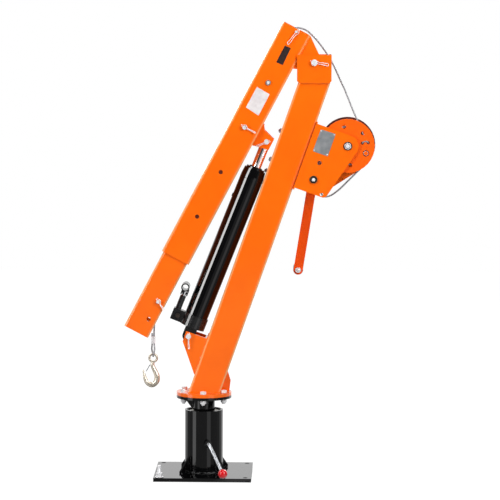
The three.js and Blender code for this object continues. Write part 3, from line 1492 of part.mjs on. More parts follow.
// A round bar that thickens towards the middle of its curve and thins to its tip
function taperedBar(points, startRadius, middleRadius, endRadius) {
  const steps = hookSteps;
  const sides = hookSides;
  const path = new THREE.CatmullRomCurve3(points, false, "centripetal");
  const positions = [];
  const index = [];
  for (let i = 0; i <= steps; i++) {
    const share = i / steps;
    const centre = path.getPointAt(share);
    const along = path.getTangentAt(share);
    const side = new THREE.Vector3(0, 1, 0);
    const up = along.clone().cross(side).normalize();
    const rise = Math.sin(Math.PI * Math.min(1, share * hookThickPlace));
    const plain = startRadius + (endRadius - startRadius) * share;
    const radius = plain + (middleRadius - plain) * rise;
    for (let k = 0; k < sides; k++) {
      const angle = (fullTurn * k) / sides;
      const point = centre.clone();
      point.addScaledVector(side, radius * Math.cos(angle));
      point.addScaledVector(up, radius * Math.sin(angle));
      positions.push(point.x, point.y, point.z);
    }
  }
  for (let i = 0; i < steps; i++) {
    for (let k = 0; k < sides; k++) {
      const next = (k + 1) % sides;
      const a = i * sides + k;
      const b = i * sides + next;
      index.push(a, b, b + sides, a, b + sides, a + sides);
    }
  }
  for (let k = 1; k < sides - 1; k++) {
    const end = steps * sides;
    index.push(0, k + 1, k, end, end + k, end + k + 1);
  }
  const geometry = new THREE.BufferGeometry();
  geometry.setAttribute("position", new THREE.Float32BufferAttribute(positions, 3));
  geometry.setIndex(index);
  return solid(geometry);
}

buildBase();
buildLock();
buildSwivel();
buildMast();
buildHead();
buildBoom();
buildExtension();
buildJack();
buildWinchFrame();
buildDrum();
buildTrain();
buildCrank();
const windingEnd = buildWinding();
buildCable(windingEnd.y);
buildHook();

export default crane;
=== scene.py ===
"""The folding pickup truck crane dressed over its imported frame, in metres."""
import math

import bmesh
import bpy
from mathutils import Matrix, Vector


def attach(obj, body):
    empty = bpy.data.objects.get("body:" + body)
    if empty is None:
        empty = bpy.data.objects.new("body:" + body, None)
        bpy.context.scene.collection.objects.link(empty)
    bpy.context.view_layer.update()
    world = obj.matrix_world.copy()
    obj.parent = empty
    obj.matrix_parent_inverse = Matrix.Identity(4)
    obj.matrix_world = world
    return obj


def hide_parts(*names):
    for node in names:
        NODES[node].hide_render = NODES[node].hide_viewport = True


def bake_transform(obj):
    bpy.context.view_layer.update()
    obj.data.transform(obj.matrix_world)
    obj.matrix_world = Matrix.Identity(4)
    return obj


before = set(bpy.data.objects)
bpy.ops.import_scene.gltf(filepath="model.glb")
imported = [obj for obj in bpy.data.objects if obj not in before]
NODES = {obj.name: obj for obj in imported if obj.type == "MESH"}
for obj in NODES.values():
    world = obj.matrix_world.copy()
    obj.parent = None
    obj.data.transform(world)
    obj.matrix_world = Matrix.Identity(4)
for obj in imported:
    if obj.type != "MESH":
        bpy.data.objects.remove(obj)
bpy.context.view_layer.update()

MM = 0.001
TAU = 2 * math.pi

# sizes and places of the frame's pieces that the dressed ones meet, in millimetres
LEAN = math.radians(19.25)
BOOM_REST = math.radians(27.7)
CRANK_SWING = math.radians(9)
LOCK_TURN = math.radians(12.5)
DISC_TOP = 251.3
MAST_HEIGHT = 926.7
HEAD_RISE = 60
TUBE_HALF = 45
MAST_FOOT = Vector((1.5, 0, DISC_TOP))
JACK_FOOT_AT = Vector((-101.3, 0, 145))
JACK_HEAD_AT = Vector((-15.7, 0, -272.8))
TIP_AT = Vector((-77.4, 0, -845.3))
REAR_AT = Vector((-90, 0, 56))
BOOM_MIDDLE = -93
LOCK_PIN_ALONG = -265.5
HOLE_PITCH = 150
DRUM_X, DRUM_Z = 155.8, 840.0
IDLER_TURN = math.radians(-129.6)
IDLER_REACH = 97.5
CRANK_REACH = 52.5
LOCK_SCREW_HEIGHT = 101.4


def placed(origin, lean):
    """A frame at the origin given, leaning towards X."""
    return Matrix.Translation(origin) @ Matrix.Rotation(lean, 4, "Y")


WORLD = Matrix.Identity(4)
MAST = placed(MAST_FOOT, LEAN)
PIVOT = Vector((MAST_FOOT.x + MAST_HEIGHT * math.tan(LEAN), 0, DISC_TOP + MAST_HEIGHT + HEAD_RISE))
BOOM = placed(PIVOT, BOOM_REST)
JACK_FOOT = MAST @ JACK_FOOT_AT
JACK_HEAD = BOOM @ JACK_HEAD_AT
JACK = placed(JACK_FOOT, math.atan2(JACK_HEAD.x - JACK_FOOT.x, JACK_HEAD.z - JACK_FOOT.z))
CRANK_X = DRUM_X + IDLER_REACH * math.cos(IDLER_TURN)
CRANK_Z = DRUM_Z + IDLER_REACH * math.sin(IDLER_TURN) - CRANK_REACH
DRUM = MAST @ Vector((DRUM_X, 0, DRUM_Z))
CRANK = placed(MAST @ Vector((CRANK_X, 0, CRANK_Z)), CRANK_SWING)
LOCK = Matrix.Rotation(LOCK_TURN, 4, "Z")
TIP = BOOM @ TIP_AT
REAR = BOOM @ REAR_AT
HOOK = Matrix.Translation(TIP)

# the camera that took the picture: turns in degrees, place in metres
YAW, PITCH, ROLL = 1.18, 5.42, -0.23
CAMERA_PLACE = Vector((0.309, -8.381, 1.473))
SENSOR_WIDTH = 36
PICTURE_SIDE = 500
FOCAL_PIXELS = 2817.7


def add_camera():
    yaw, pitch, roll = math.radians(YAW), math.radians(PITCH), math.radians(ROLL)
    side = Vector((math.cos(yaw), math.sin(yaw), 0))
    ahead = Vector((-math.sin(yaw), math.cos(yaw), 0))
    up0 = Vector((0, 0, 1))
    forward = ahead * math.cos(pitch) - up0 * math.sin(pitch)
    up = ahead * math.sin(pitch) + up0 * math.cos(pitch)
    right = side * math.cos(roll) - up * math.sin(roll)
    top = side * math.sin(roll) + up * math.cos(roll)
    data = bpy.data.cameras.new("camera")
    data.sensor_width = SENSOR_WIDTH
    data.lens = FOCAL_PIXELS / PICTURE_SIDE * SENSOR_WIDTH
    data.clip_end = 100
    cam = bpy.data.objects.new("camera", data)
    bpy.context.scene.collection.objects.link(cam)
    turn = Matrix((right, top, -forward)).transposed().to_4x4()
    cam.matrix_world = Matrix.Translation(CAMERA_PLACE) @ turn
    bpy.context.scene.camera = cam


add_camera()


# materials
def tree_of(name):
    mat = bpy.data.materials.new(name)
    mat.use_nodes = True
    tree = mat.node_tree
    shader = tree.nodes["Principled BSDF"]
    return mat, tree, shader


def noise(tree, scale, detail=4.0):
    place = tree.nodes.new("ShaderNodeTexCoord")
    tex = tree.nodes.new("ShaderNodeTexNoise")
    tex.inputs["Scale"].default_value = scale
    tex.inputs["Detail"].default_value = detail
    tree.links.new(place.outputs["Object"], tex.inputs["Vector"])
    return tex.outputs["Fac"]


def ramp(tree, source, stops):
    node = tree.nodes.new("ShaderNodeValToRGB")
    while len(node.color_ramp.elements) < len(stops):
        node.color_ramp.elements.new(0.5)
    for element, (pos, colour) in zip(node.color_ramp.elements, stops):
        element.position = pos
        element.color = (*colour, 1)
    tree.links.new(source, node.inputs["Fac"])
    return node.outputs["Color"]


def spread(tree, source, low, high):
    node = tree.nodes.new("ShaderNodeMapRange")
    node.inputs["From Min"].default_value = 0.3
    node.inputs["From Max"].default_value = 0.7
    node.inputs["To Min"].default_value = low
    node.inputs["To Max"].default_value = high
    tree.links.new(source, node.inputs["Value"])
    return node.outputs["Result"]


def bump(tree, shader, source, strength, distance):
    node = tree.nodes.new("ShaderNodeBump")
    node.inputs["Strength"].default_value = strength
    node.inputs["Distance"].default_value = distance
    tree.links.new(source, node.inputs["Height"])
    tree.links.new(node.outputs["Normal"], shader.inputs["Normal"])


def paint_edge_highlight(tree, colour, edge):
    """A painted highlight: the pale edge colour, mixed in where the surface turns from the sides
    to the front or back.
    """
    place = tree.nodes.new("ShaderNodeTexCoord")
    split = tree.nodes.new("ShaderNodeSeparateXYZ")
    tree.links.new(place.outputs["Normal"], split.inputs["Vector"])
    size = tree.nodes.new("ShaderNodeMath")
    size.operation = "ABSOLUTE"
    tree.links.new(split.outputs["Y"], size.inputs[0])
    share = ramp(tree, size.outputs[0], [
        (at, (level, level, level)) for at, level in ((0.2, 0), (0.4, 1), (0.8, 1), (0.94, 0))])
    mix = tree.nodes.new("ShaderNodeMixRGB")
    mix.inputs["Color2"].default_value = (*edge, 1)
    tree.links.new(share, mix.inputs["Fac"])
    tree.links.new(colour, mix.inputs["Color1"])
    return mix.outputs["Color"]


def surface(name, dark, light, rough, *, grain, relief, metal=0.0, mottle=12.0, depth=0.0002,
            coat=0.0, coat_rough=0.08, sheen=0.5, coat_index=1.5, edge=None):
    """A material whose colour, roughness and relief vary as the real finish does; a given edge
    colour is a painted highlight on the rounded edges.
    """
    mat, tree, shader = tree_of(name)
    broad = noise(tree, mottle, 5)
    colour = ramp(tree, broad, [(0.35, dark), (0.65, light)])
    # an edge colour paints a highlight onto the rounded edges
    if edge:
        colour = paint_edge_highlight(tree, colour, edge)
    tree.links.new(colour, shader.inputs["Base Color"])
    fine = noise(tree, mottle * 9, 6)
    tree.links.new(spread(tree, fine, rough[0], rough[1]), shader.inputs["Roughness"])
    shader.inputs["Metallic"].default_value = metal
    shader.inputs["Specular IOR Level"].default_value = sheen
    shader.inputs["Coat Weight"].default_value = coat
    shader.inputs["Coat Roughness"].default_value = coat_rough
    shader.inputs["Coat IOR"].default_value = coat_index
    bump(tree, shader, noise(tree, grain, 3), relief, depth)
    return mat


POWDER_COAT = {"dark": (0.95, 0.138, 0.0), "light": (1.0, 0.152, 0.0), "rough": (0.28, 0.34),
               "grain": 1600, "relief": 0.03, "coat": 1.0, "coat_rough": 0.12, "sheen": 0.1,
               "coat_index": 1.6}
ORANGE = surface("orange_powder_coat", **POWDER_COAT)
# the tubes' pale edge colour is a painted highlight along their rounded corners
ORANGE_WITH_PAINTED_EDGE_HIGHLIGHT = surface("orange_powder_coat_painted_edge_highlight", **POWDER_COAT, edge=(1.0, 0.40, 0.12))
RED_ORANGE = surface("red_orange_paint", (0.95, 0.085, 0.0005), (1.0, 0.1, 0.001),
                     (0.26, 0.36), grain=1500, relief=0.04, coat=0.5, sheen=0.25)
BLACK = surface("gloss_black_paint", (0.0012, 0.0012, 0.0014), (0.0022, 0.0022, 0.0025),
                (0.06, 0.1), grain=900, relief=0.015)
BLACK_CAST = surface("black_casting", (0.004, 0.004, 0.0042), (0.009, 0.009, 0.0095),
                     (0.2, 0.34), grain=260, relief=0.3, depth=0.0006, coat=0.3, coat_rough=0.08)
CHROME = surface("hard_chrome", (0.86, 0.86, 0.88), (0.92, 0.92, 0.94), (0.04, 0.08), metal=1.0,
                 grain=1500, relief=0.01)
ZINC = surface("bright_zinc", (0.84, 0.84, 0.86), (0.96, 0.96, 0.97), (0.24, 0.36), metal=0.3,
               mottle=60, grain=1200, relief=0.08)
YELLOW_ZINC = surface("yellowed_zinc", (0.60, 0.53, 0.43), (0.82, 0.75, 0.64), (0.26, 0.4),
                      metal=0.75, mottle=55, grain=900, relief=0.16)
GREY_ZINC = surface("grey_zinc", (0.36, 0.39, 0.42), (0.50, 0.53, 0.56), (0.26, 0.38), metal=0.7,
                    mottle=60, grain=1200, relief=0.08)
LOCK_ZINC = surface("lock_zinc", (0.55, 0.57, 0.60), (0.70, 0.72, 0.75), (0.2, 0.3), metal=0.6,
                    mottle=60, grain=1200, relief=0.08)
STEEL = surface("blackened_steel", (0.020, 0.013, 0.010), (0.045, 0.034, 0.028), (0.3, 0.45),
                metal=0.4, mottle=70, grain=800, relief=0.2)
# a dark red for the drum's gear, darkened to paint in the shade behind the drum's near flange; the
# discs of painted shade in holes use it too
GEAR_RED_AND_PAINTED_SHADE = surface("gear_red_and_painted_shade", (0.075, 0.010, 0.003), (0.11, 0.015, 0.005), (0.3, 0.42),
               mottle=40, grain=1200, relief=0.1)
# the drum's orange is darkened and reddened to paint in the shade that the winch plate casts on
# its flange
SHADED_DRUM_ORANGE = surface("drum_orange_painted_shade", (0.90, 0.108, 0.0005), (0.96, 0.122, 0.001),
                      (0.28, 0.34), grain=1600, relief=0.03, coat=0.6, coat_rough=0.07, sheen=0.25)
RED = surface("red_ball_plastic", (0.60, 0.004, 0.008), (0.70, 0.006, 0.012), (0.1, 0.16),
              grain=300, relief=0.02, coat=0.6, coat_rough=0.04)
RUBBER = surface("moulded_grip", (0.008, 0.008, 0.009), (0.016, 0.016, 0.017), (0.4, 0.55),
                 grain=1600, relief=0.3)
NYLON = surface("nylon_bush", (0.62, 0.60, 0.54), (0.74, 0.72, 0.66), (0.38, 0.5), grain=900,
                relief=0.1)
LABEL_DARK = surface("dark_label", (0.014, 0.006, 0.006), (0.032, 0.014, 0.012), (0.35, 0.45),
                     mottle=90, grain=1200, relief=0.05)
LABEL_PALE = surface("pale_label", (0.66, 0.61, 0.61), (0.76, 0.72, 0.72), (0.35, 0.5),
                     mottle=80, grain=1200, relief=0.05)
PLATE = surface("brushed_plate", (0.30, 0.32, 0.34), (0.46, 0.47, 0.48), (0.28, 0.4), metal=0.55,
                mottle=45, grain=2200, relief=0.12)
BRASS = surface("bronze_bush", (0.42, 0.24, 0.10), (0.56, 0.34, 0.15), (0.3, 0.42), metal=1.0,
                mottle=60, grain=1200, relief=0.1)


def wire_rope_material():
    """Galvanised wire: the strands' fine wires run aslant along the tube's own UV."""
    mat, tree, shader = tree_of("galvanised_wire_rope")
    place = tree.nodes.new("ShaderNodeTexCoord")
    wave = tree.nodes.new("ShaderNodeTexWave")
    wave.wave_type = "BANDS"
    wave.bands_direction = "DIAGONAL"
    wave.inputs["Scale"].default_value = 9
    wave.inputs["Distortion"].default_value = 0.4
    tree.links.new(place.outputs["UV"], wave.inputs["Vector"])
    stops = [(0.0, (0.17, 0.17, 0.18)), (0.6, (0.40, 0.40, 0.42))]
    colour = ramp(tree, wave.outputs["Fac"], stops)
    tree.links.new(colour, shader.inputs["Base Color"])
    tree.links.new(spread(tree, noise(tree, 300), 0.28, 0.46), shader.inputs["Roughness"])
    shader.inputs["Metallic"].default_value = 0.3
    bump(tree, shader, wave.outputs["Fac"], 0.5, 0.0003)
    return mat


ROPE = wire_rope_material()


# mesh helpers
SHARP = 38  # degrees from which an edge stays sharp


def piece(name, verts, faces, material, body, at=WORLD, replaces=(), slot=None,
          smooth=SHARP, uvs=None, stays=False):
    """A mesh piece given in millimetres in its group's frame, riding on a body."""
    mesh = bpy.data.meshes.new(name)
    mesh.from_pydata([(at @ Vector(v)) * MM for v in verts], [], faces)
    mesh.validate()
    shape = bmesh.new()
    shape.from_mesh(mesh)
    bmesh.ops.recalc_face_normals(shape, faces=shape.faces)
    shape.to_mesh(mesh)
    shape.free()
    mesh.update()
    if uvs is not None:
        layer = mesh.uv_layers.new(name="UVMap")
        for loop in mesh.loops:
            layer.data[loop.index].uv = uvs[loop.vertex_index]
    obj = bpy.data.objects.new(name, mesh)
    bpy.context.scene.collection.objects.link(obj)
    obj.data.materials.append(material)
    mesh.shade_smooth()
    mesh.set_sharp_from_angle(angle=math.radians(smooth))
    if not stays:
        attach(obj, body)
    if replaces:
        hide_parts(*replaces)
    return obj


def row_faces(rows, sides, closed=False):
    """The faces between rows of verts, with the first and last row capped unless closed."""
    faces = []
    for i in range(rows if closed else rows - 1):
        j = (i + 1) % rows
        for k in range(sides):
            n = (k + 1) % sides
            faces.append((i * sides + k, i * sides + n, j * sides + n, j * sides + k))
    if not closed:
        faces.append(tuple(reversed(range(sides))))
        faces.append(tuple((rows - 1) * sides + k for k in range(sides)))
    return faces


def lathe(profile, sides, closed=False):
    """Verts and faces of a profile of (radius, height) turned about Z."""
    verts = []
    for radius, height in profile:
        for k in range(sides):
            turn = TAU * k / sides
            verts.append((radius * math.cos(turn), radius * math.sin(turn), height))
    return verts, row_faces(len(profile), sides, closed)


def joined(*shapes):
    """The verts and faces of several shapes as one."""
    verts, faces = [], []
    for shape_verts, shape_faces in shapes:
        offset = len(verts)
        verts += shape_verts
        faces += [tuple(v + offset for v in f) for f in shape_faces]
    return verts, faces


AXIS_Y = Matrix.Rotation(-math.pi / 2, 4, "X")
AXIS_X = Matrix.Rotation(math.pi / 2, 4, "Y")


def turned(name, profile, at, material, body, sides=48, closed=False, **more):
    return piece(name, *lathe(profile, sides, closed), material, body, at=at, **more)


def chamfered(radius, low, high, edge):
    return [(radius - edge, low), (radius, low + edge),
            (radius, high - edge), (radius - edge, high)]


def sweep(points, radius, sides, closed=False, lobes=0, pitch=30.0, depth=0.0, flat=1.0):
    """A tube along points; lobes twist round it like a rope's strands."""
    path = [Vector(p) for p in points]
    count = len(path)
    tangents = []
    for i in range(count):
        if closed:
            step = path[(i + 1) % count] - path[i - 1]
        else:
            step = path[min(i + 1, count - 1)] - path[max(i - 1, 0)]
        tangents.append(step.normalized())
    first = tangents[0]
    guide = Vector((0, 1, 0)) if abs(first.y) < 0.9 else Vector((1, 0, 0))
    normal = (guide - first * guide.dot(first)).normalized()
    verts, uvs, length = [], [], 0.0
    for i, centre in enumerate(path):
        tangent = tangents[i]
        normal = (normal - tangent * normal.dot(tangent)).normalized()
        other = tangent.cross(normal)
        if i:
            length += (centre - path[i - 1]).length
        size = radius[i] if isinstance(radius, (list, tuple)) else radius
        for k in range(sides):
            turn = TAU * k / sides
            reach = size
            if lobes:
                wave = abs(math.cos(0.5 * lobes * (turn - TAU * length / pitch)))
                reach = size * (1 - depth * (1 - wave))
            verts.append(centre + normal * (reach * math.cos(turn))
                         + other * (reach * flat * math.sin(turn)))
            uvs.append((k / sides, length / pitch))
    return verts, row_faces(count, sides, closed), uvs


def smooth_path(points, per=8):
    """A centripetal curve through points, as the frame's own tubes follow."""
    pts = [Vector(p) for p in points]
    pts = [pts[0] * 2 - pts[1]] + pts + [pts[-1] * 2 - pts[-2]]
    out = []
    for i in range(1, len(pts) - 2):
        p0, p1, p2, p3 = pts[i - 1:i + 3]
        t01 = max((p1 - p0).length, 1e-6) ** 0.5
        t12 = max((p2 - p1).length, 1e-6) ** 0.5
        t23 = max((p3 - p2).length, 1e-6) ** 0.5
        m1 = (p2 - p1) + ((p1 - p0) / t01 - (p2 - p0) / (t01 + t12)) * t12
        m2 = (p2 - p1) + ((p3 - p2) / t23 - (p3 - p1) / (t12 + t23)) * t12
        for k in range(per):
            t = k / per
            out.append((2 * t**3 - 3 * t**2 + 1) * p1 + (t**3 - 2 * t**2 + t) * m1
                       + (-2 * t**3 + 3 * t**2) * p2 + (t**3 - t**2) * m2)
    out.append(pts[-2])
    return out


def resampled(points, step):
    pts = [Vector(p) for p in points]
    total = sum((b - a).length for a, b in zip(pts, pts[1:]))
    count = max(2, round(total / step))
    spacing = total / count
    out, need = [pts[0]], spacing
    for a, b in zip(pts, pts[1:]):
        span = (b - a).length
        while span > 0 and need <= span + 1e-9:
            out.append(a + (b - a) * (need / span))
            need += spacing
        need -= span
    if len(out) <= count:
        out.append(pts[-1])
    out[-1] = pts[-1]
    return out, total


def tube(name, points, radius, material, body, *, sides, at=WORLD, **more):
    keys = ("closed", "lobes", "pitch", "depth", "flat")
    shape = {k: more.pop(k) for k in list(more) if k in keys}
    verts, faces, uvs = sweep(points, radius, sides, **shape)
    return piece(name, verts, faces, material, body, at=at, uvs=uvs, **more)


def prism(name, outline, y0, y1, material, body):
    """A plate whose outline lies in X and Z."""
    count = len(outline)
    verts = [(x, y0, z) for x, z in outline] + [(x, y1, z) for x, z in outline]
    faces = [tuple(range(count)), tuple(reversed(range(count, 2 * count)))]
    for i in range(count):
        j = (i + 1) % count
        faces.append((i, i + count, j + count, j))
    return piece(name, verts, faces, material, body)


# cords
ROPE_RADIUS = 2.5
ROPE_STEP = 1.6
ROPE_STRANDS = 6
ROPE_PITCH = 34
ROPE_GROOVE = 0.13  # share of the radius
ROPE_LOOK = {"lobes": ROPE_STRANDS, "pitch": ROPE_PITCH, "depth": ROPE_GROOVE, "smooth": 60,
             "slot": "cable_steel"}


def rope(name, points, body, at=WORLD, replaces=(),
         rides=True):
    """A free stretch of the wire rope; its real length is printed."""
    path, total = resampled(smooth_path(points), ROPE_STEP)
    obj = tube(name, path, ROPE_RADIUS, ROPE, body, at=at, sides=18, replaces=replaces,
               stays=not rides, **ROPE_LOOK)
    print(name, "length", round(total * MM, 3))
    return obj


CORE_REACH = 54.5
LOOP_SIDES = 24
BARREL_END = 30
END_GAP = 2.6
TURN_PITCH = 5.7
TURNS = 11
LEAVE = math.radians(24.4)
LEAVE_LENGTH = 5.3
ROLLER_TOP = 10.8
WINDING_RADIUS = CORE_REACH / math.cos(math.pi / LOOP_SIDES)
FIRST_Y = BARREL_END - END_GAP - ROPE_RADIUS
LAST_Y = FIRST_Y - TURN_PITCH * TURNS
START = Vector((DRUM.x + WINDING_RADIUS * math.cos(LEAVE), LAST_Y,
                DRUM.z + WINDING_RADIUS * math.sin(LEAVE)))
START += Vector((-math.sin(LEAVE), 0, math.cos(LEAVE))) * LEAVE_LENGTH
OVER_ROLLER = REAR.z + ROLLER_TOP

TO_BOOM = [
    tuple(START), (464, LAST_Y + 1, 1045), (452.5, -34, 1070.7), (440.4, -31, 1097.4),
    (428.3, -28, 1127.1), (416.2, -24, 1156.7), (402.5, -20, 1186.3), (389.1, -16, 1215.9),
    (374, -12, 1245.5), (354, -8, 1276), (329.1, -4, 1307.4), (300, -1, 1333.5),
    (REAR.x + 6, 0, OVER_ROLLER), (REAR.x + 1, 0, OVER_ROLLER),
]
to_boom = rope("cable_to_boom_rope", TO_BOOM, "mast", replaces=["cable_to_boom"],
               rides=False)
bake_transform(to_boom)


def beside_drum(angle, radius, y):
    angle = math.radians(angle)
    return (DRUM.x + radius * math.cos(angle), y, DRUM.z + radius * math.sin(angle))


ON_WINDING = WINDING_RADIUS + 2.8
SLACK = [
    beside_drum(-7.4, ON_WINDING, -20.2), beside_drum(-7.4, ON_WINDING + 5, -20.2),
    (491, -21, 964), (474, -21.5, 935), (450.5, -22, 911), (428.5, -21, 888.9),
    (397.5, -20, 858.8), (372, -19, 842), (355, -18, 841), (346, -17, 856), (346, -16, 885),
    (354, -14, 915), beside_drum(-140.2, ON_WINDING + 7.5, -12.4),
    beside_drum(-140.2, ON_WINDING, -12.4),
]
rope("cable_slack_rope", SLACK, "mast", replaces=["cable_slack"])

TIP_ROLLER_REACH = 11.8
LINE_DRIFT = 2
LEG_ASIDE = 2.9
FERRULE_X = -TIP_ROLLER_REACH - LINE_DRIFT - LEG_ASIDE
FERRULE_LOW = 131.5
FERRULE_HEIGHT = 22
FERRULE_HALF_WIDTH = 6.5
FERRULE_HALF_DEPTH = 4.25
DROP = [
    *[(TIP_ROLLER_REACH * math.cos(math.pi - BOOM_REST * share), 0,
       TIP_ROLLER_REACH * math.sin(math.pi - BOOM_REST * share)) for share in (0.9, 0.45)],
    (-TIP_ROLLER_REACH, 0, 0), (FERRULE_X + 4.6, 0, -40),
    *[(FERRULE_X + x, y, z) for x, y, z in (
        (2.9, 0, -103), (2.9, 0, -109.5), (2.9, 0, -131.5), (3.6, -1.6, -138), (4.6, -5, -147),
        (3.4, -7.2, -156), (0.8, -6, -166), (0, 0, -170.5), (-0.8, 6, -166), (-3.4, 7.2, -156),
        (-4.6, 5, -147), (-3.6, 1.6, -138), (-2.9, 0, -131.5), (-2.9, 0, -109.5),
        (-2.9, 0, -100.5),
    )],
]


# the load line's pieces
def ferrule():
    """A crimped oval sleeve with the press marks across it."""
    verts = []
    rows, sides = 25, 40
    for i in range(rows):
        t = i / (rows - 1)
        z = -FERRULE_LOW + FERRULE_HEIGHT * t
        pinch = 1 - 0.10 * max(0.0, math.sin(t * math.pi * 5))
        if i in (0, rows - 1):
            pinch -= 0.12
        for k in range(sides):
            turn = TAU * k / sides
            c, s = math.cos(turn), math.sin(turn)
            x = FERRULE_HALF_WIDTH * math.copysign(abs(c) ** 0.75, c)
            y = FERRULE_HALF_DEPTH * math.copysign(abs(s) ** 0.75, s) * pinch
            verts.append((FERRULE_X + x, y, z))
    return piece("ferrule_crimp", verts, row_faces(rows, sides), ZINC, "load_line", at=HOOK,
                 replaces=["ferrule"], slot="zinc")


EYE_DROP = 175
EYE_RADIUS = 11.5
EYE_WIRE = 3.5
NECK_RADIUS = 6.0
TIP_LOSS = 2.8
BOWL_RADIUS = 9.6
LATCH_ASIDE = 8.2
LATCH_DROP = 22


def hook():
    """The forged eye hook: an eye, and a bowl that swells between its neck and its tip."""
    at = HOOK @ Matrix.Translation(Vector((FERRULE_X, 0, -EYE_DROP)))
    ring = [(EYE_RADIUS * math.cos(TAU * i / 48), 0, EYE_RADIUS * math.sin(TAU * i / 48))
            for i in range(48)]
    eye = sweep(ring, EYE_WIRE, 20, closed=True)
    line = smooth_path([(-0.5, 0, -11.8), (-2, 0, -20.5), (1.5, 0, -30.5), (7.7, 0, -43.6),
                        (12.2, 0, -57), (9.8, 0, -71), (-2.5, 0, -81.2), (-16.8, 0, -75.4),
                        (-24.8, 0, -59.4), (-27.6, 0, -45), (-30.6, 0, -36)], 6)
    line, _ = resampled(line, 3)
    sizes = []
    for i in range(len(line)):
        t = i / (len(line) - 1)
        plain = NECK_RADIUS - TIP_LOSS * t
        sizes.append(plain + (BOWL_RADIUS - plain) * math.sin(math.pi * min(1, t * 1.06)))
    sizes[-1] *= 0.45
    sizes[-2] *= 0.82
    sizes[0] *= 0.9
    bowl = sweep(line, sizes, 24, flat=0.92)
    return piece("forged_hook", *joined(eye[:2], bowl[:2]), YELLOW_ZINC, "load_line", at=at,
                 replaces=["hook"], slot="hook_zinc", smooth=60)


def latch():
    """The latch: a bent strip with two cheeks beside the neck, and its small spring."""
    at = HOOK @ Matrix.Translation(Vector((FERRULE_X - LATCH_ASIDE, 0, -EYE_DROP - LATCH_DROP)))
    line = [(-0.6, 0, 0.4), (-4, 0, -6.2), (-8, 0, -13), (-11.6, 0, -19.4)]
    verts = []
    across = Vector((-0.86, 0, 0.5))
    for i, p in enumerate(resampled(line, 1.0)[0]):
        half = 3.4 - 0.9 * i / 21
        for y, out in ((-half, 2.6), (-half, 0.2), (-half * 0.5, 0), (half * 0.5, 0),
                       (half, 0.2), (half, 2.6)):
            verts.append(tuple(p + across * out + Vector((0, y, 0))))
    strip = piece("latch_strip", verts, row_faces(len(verts) // 6, 6), GREY_ZINC, "hook_latch",
                  at=at, replaces=["hook_latch"], slot="zinc")
    coil = [(-1.9 + 0.8 * math.cos(TAU * t / 12), -3 + t / 12, -1 + 0.8 * math.sin(TAU * t / 12))
            for t in range(73)]
    tube("latch_spring", coil, 0.32, ZINC, "hook_latch", at=at, sides=8, slot="zinc")
    return strip


ferrule_piece = ferrule()
hook_piece = hook()
latch_piece = latch()
rope("cable_drop_rope", DROP, "load_line", at=HOOK, replaces=["cable_drop"])


def winding():
    """The turns on the core; the last one leaves straight towards the boom."""
    points = []
    leave = LEAVE + LEAN
    per_turn = 60
    for i in range(TURNS * per_turn + 1):
        turn = i / per_turn
        angle = leave - (TURNS - turn) * TAU
        points.append(Vector((DRUM_X + WINDING_RADIUS * math.cos(angle),
                              FIRST_Y - TURN_PITCH * turn,
                              DRUM_Z + WINDING_RADIUS * math.sin(angle))))
    points.append(points[-1] + Vector((-math.sin(leave), 0, math.cos(leave))) * 5)
    tube("cable_winding_rope", points, ROPE_RADIUS, ROPE, "drum", at=MAST, sides=12,
         replaces=["cable_winding"], **ROPE_LOOK)


winding()


# CAD nodes that keep their shape
def add_bevel(obj, width):
    mod = obj.modifiers.new("edge", "BEVEL")
    mod.width = width * MM
    mod.segments = 2
    mod.limit_method = "ANGLE"
    mod.angle_limit = math.radians(SHARP)
    mod.harden_normals = True


def dress(material, names, bevel=0.0):
    for name in names:
        obj = NODES[name]
        obj.data.materials.clear()
        obj.data.materials.append(material)
        obj.data.shade_smooth()
        obj.data.set_sharp_from_angle(angle=math.radians(SHARP))
        if bevel:
            add_bevel(obj, bevel)
        flat = obj.modifiers.new("flats", "WEIGHTED_NORMAL")
        flat.keep_sharp = True


dress(ORANGE_WITH_PAINTED_EDGE_HIGHLIGHT, ["mast_tube", "boom_tube", "extension_tube"])
dress(ORANGE, ["mast_disc", "mast_gusset", "mast_jack_lug", "head_bracket", "winch_frame",
               "boom_pivot_lug", "boom_jack_lug"], bevel=0.7)
dress(SHADED_DRUM_ORANGE, ["winch_drum"], bevel=0.7)
dress(GEAR_RED_AND_PAINTED_SHADE, ["drum_gear"])
dress(RED_ORANGE, ["crank_arm"], bevel=0.7)
dress(BLACK, ["base_plate", "base_column", "swivel_post"], bevel=0.6)
dress(BLACK, ["jack_cylinder"], bevel=0.4)
dress(BLACK_CAST, ["jack_base", "pump_lever"], bevel=0.6)
dress(NYLON, ["column_bush"])
dress(CHROME, ["jack_ram", "pump_piston"], bevel=0.4)
dress(STEEL, ["idler_gear", "ratchet_wheel", "pawl", "release_valve"])
dress(ZINC, ["drum_shaft", "idler_axle", "crank_shaft", "jack_foot_pin", "boom_pivot_pin",
             "jack_head_pin_near", "jack_head_pin_far", "rear_roller_pin", "stop_bolt", "lock_pin",
             "rear_roller", "tip_roller_pin", "tip_roller"], bevel=0.5)
dress(ROPE, ["cable_in_boom"])
dress(RUBBER, ["crank_grip"])


# bolts, nuts and studs
def hexagon(across, low, high):
    """A chamfered hexagon as verts and faces about Z."""
    corner = across / 2 / math.cos(math.pi / 6)
    edge = corner - across / 2
    verts = []
    rows = [(low, False), (low + edge, True), (high - edge, True), (high, False)]
    sides = 36
    for z, full in rows:
        for k in range(sides):
            turn = TAU * k / sides
            reach = across / 2
            if full:
                reach /= math.cos((turn % (TAU / 6)) - TAU / 12)
            verts.append((reach * math.cos(turn), reach * math.sin(turn), z))
    return verts, row_faces(len(rows), sides)


def washer(radius, low, high, edge=0.4):
    return lathe(chamfered(radius, low, high, edge), 40)


def threaded(radius, low, high, pitch=1.75):
    rows = [(radius - 1.2, low)]
    z = low + 1
    while z < high - 1:
        rows += [(radius - 0.75, z), (radius, z + pitch * 0.45)]
        z += pitch
    rows.append((radius - 1.2, high))
    return lathe(rows, 32)


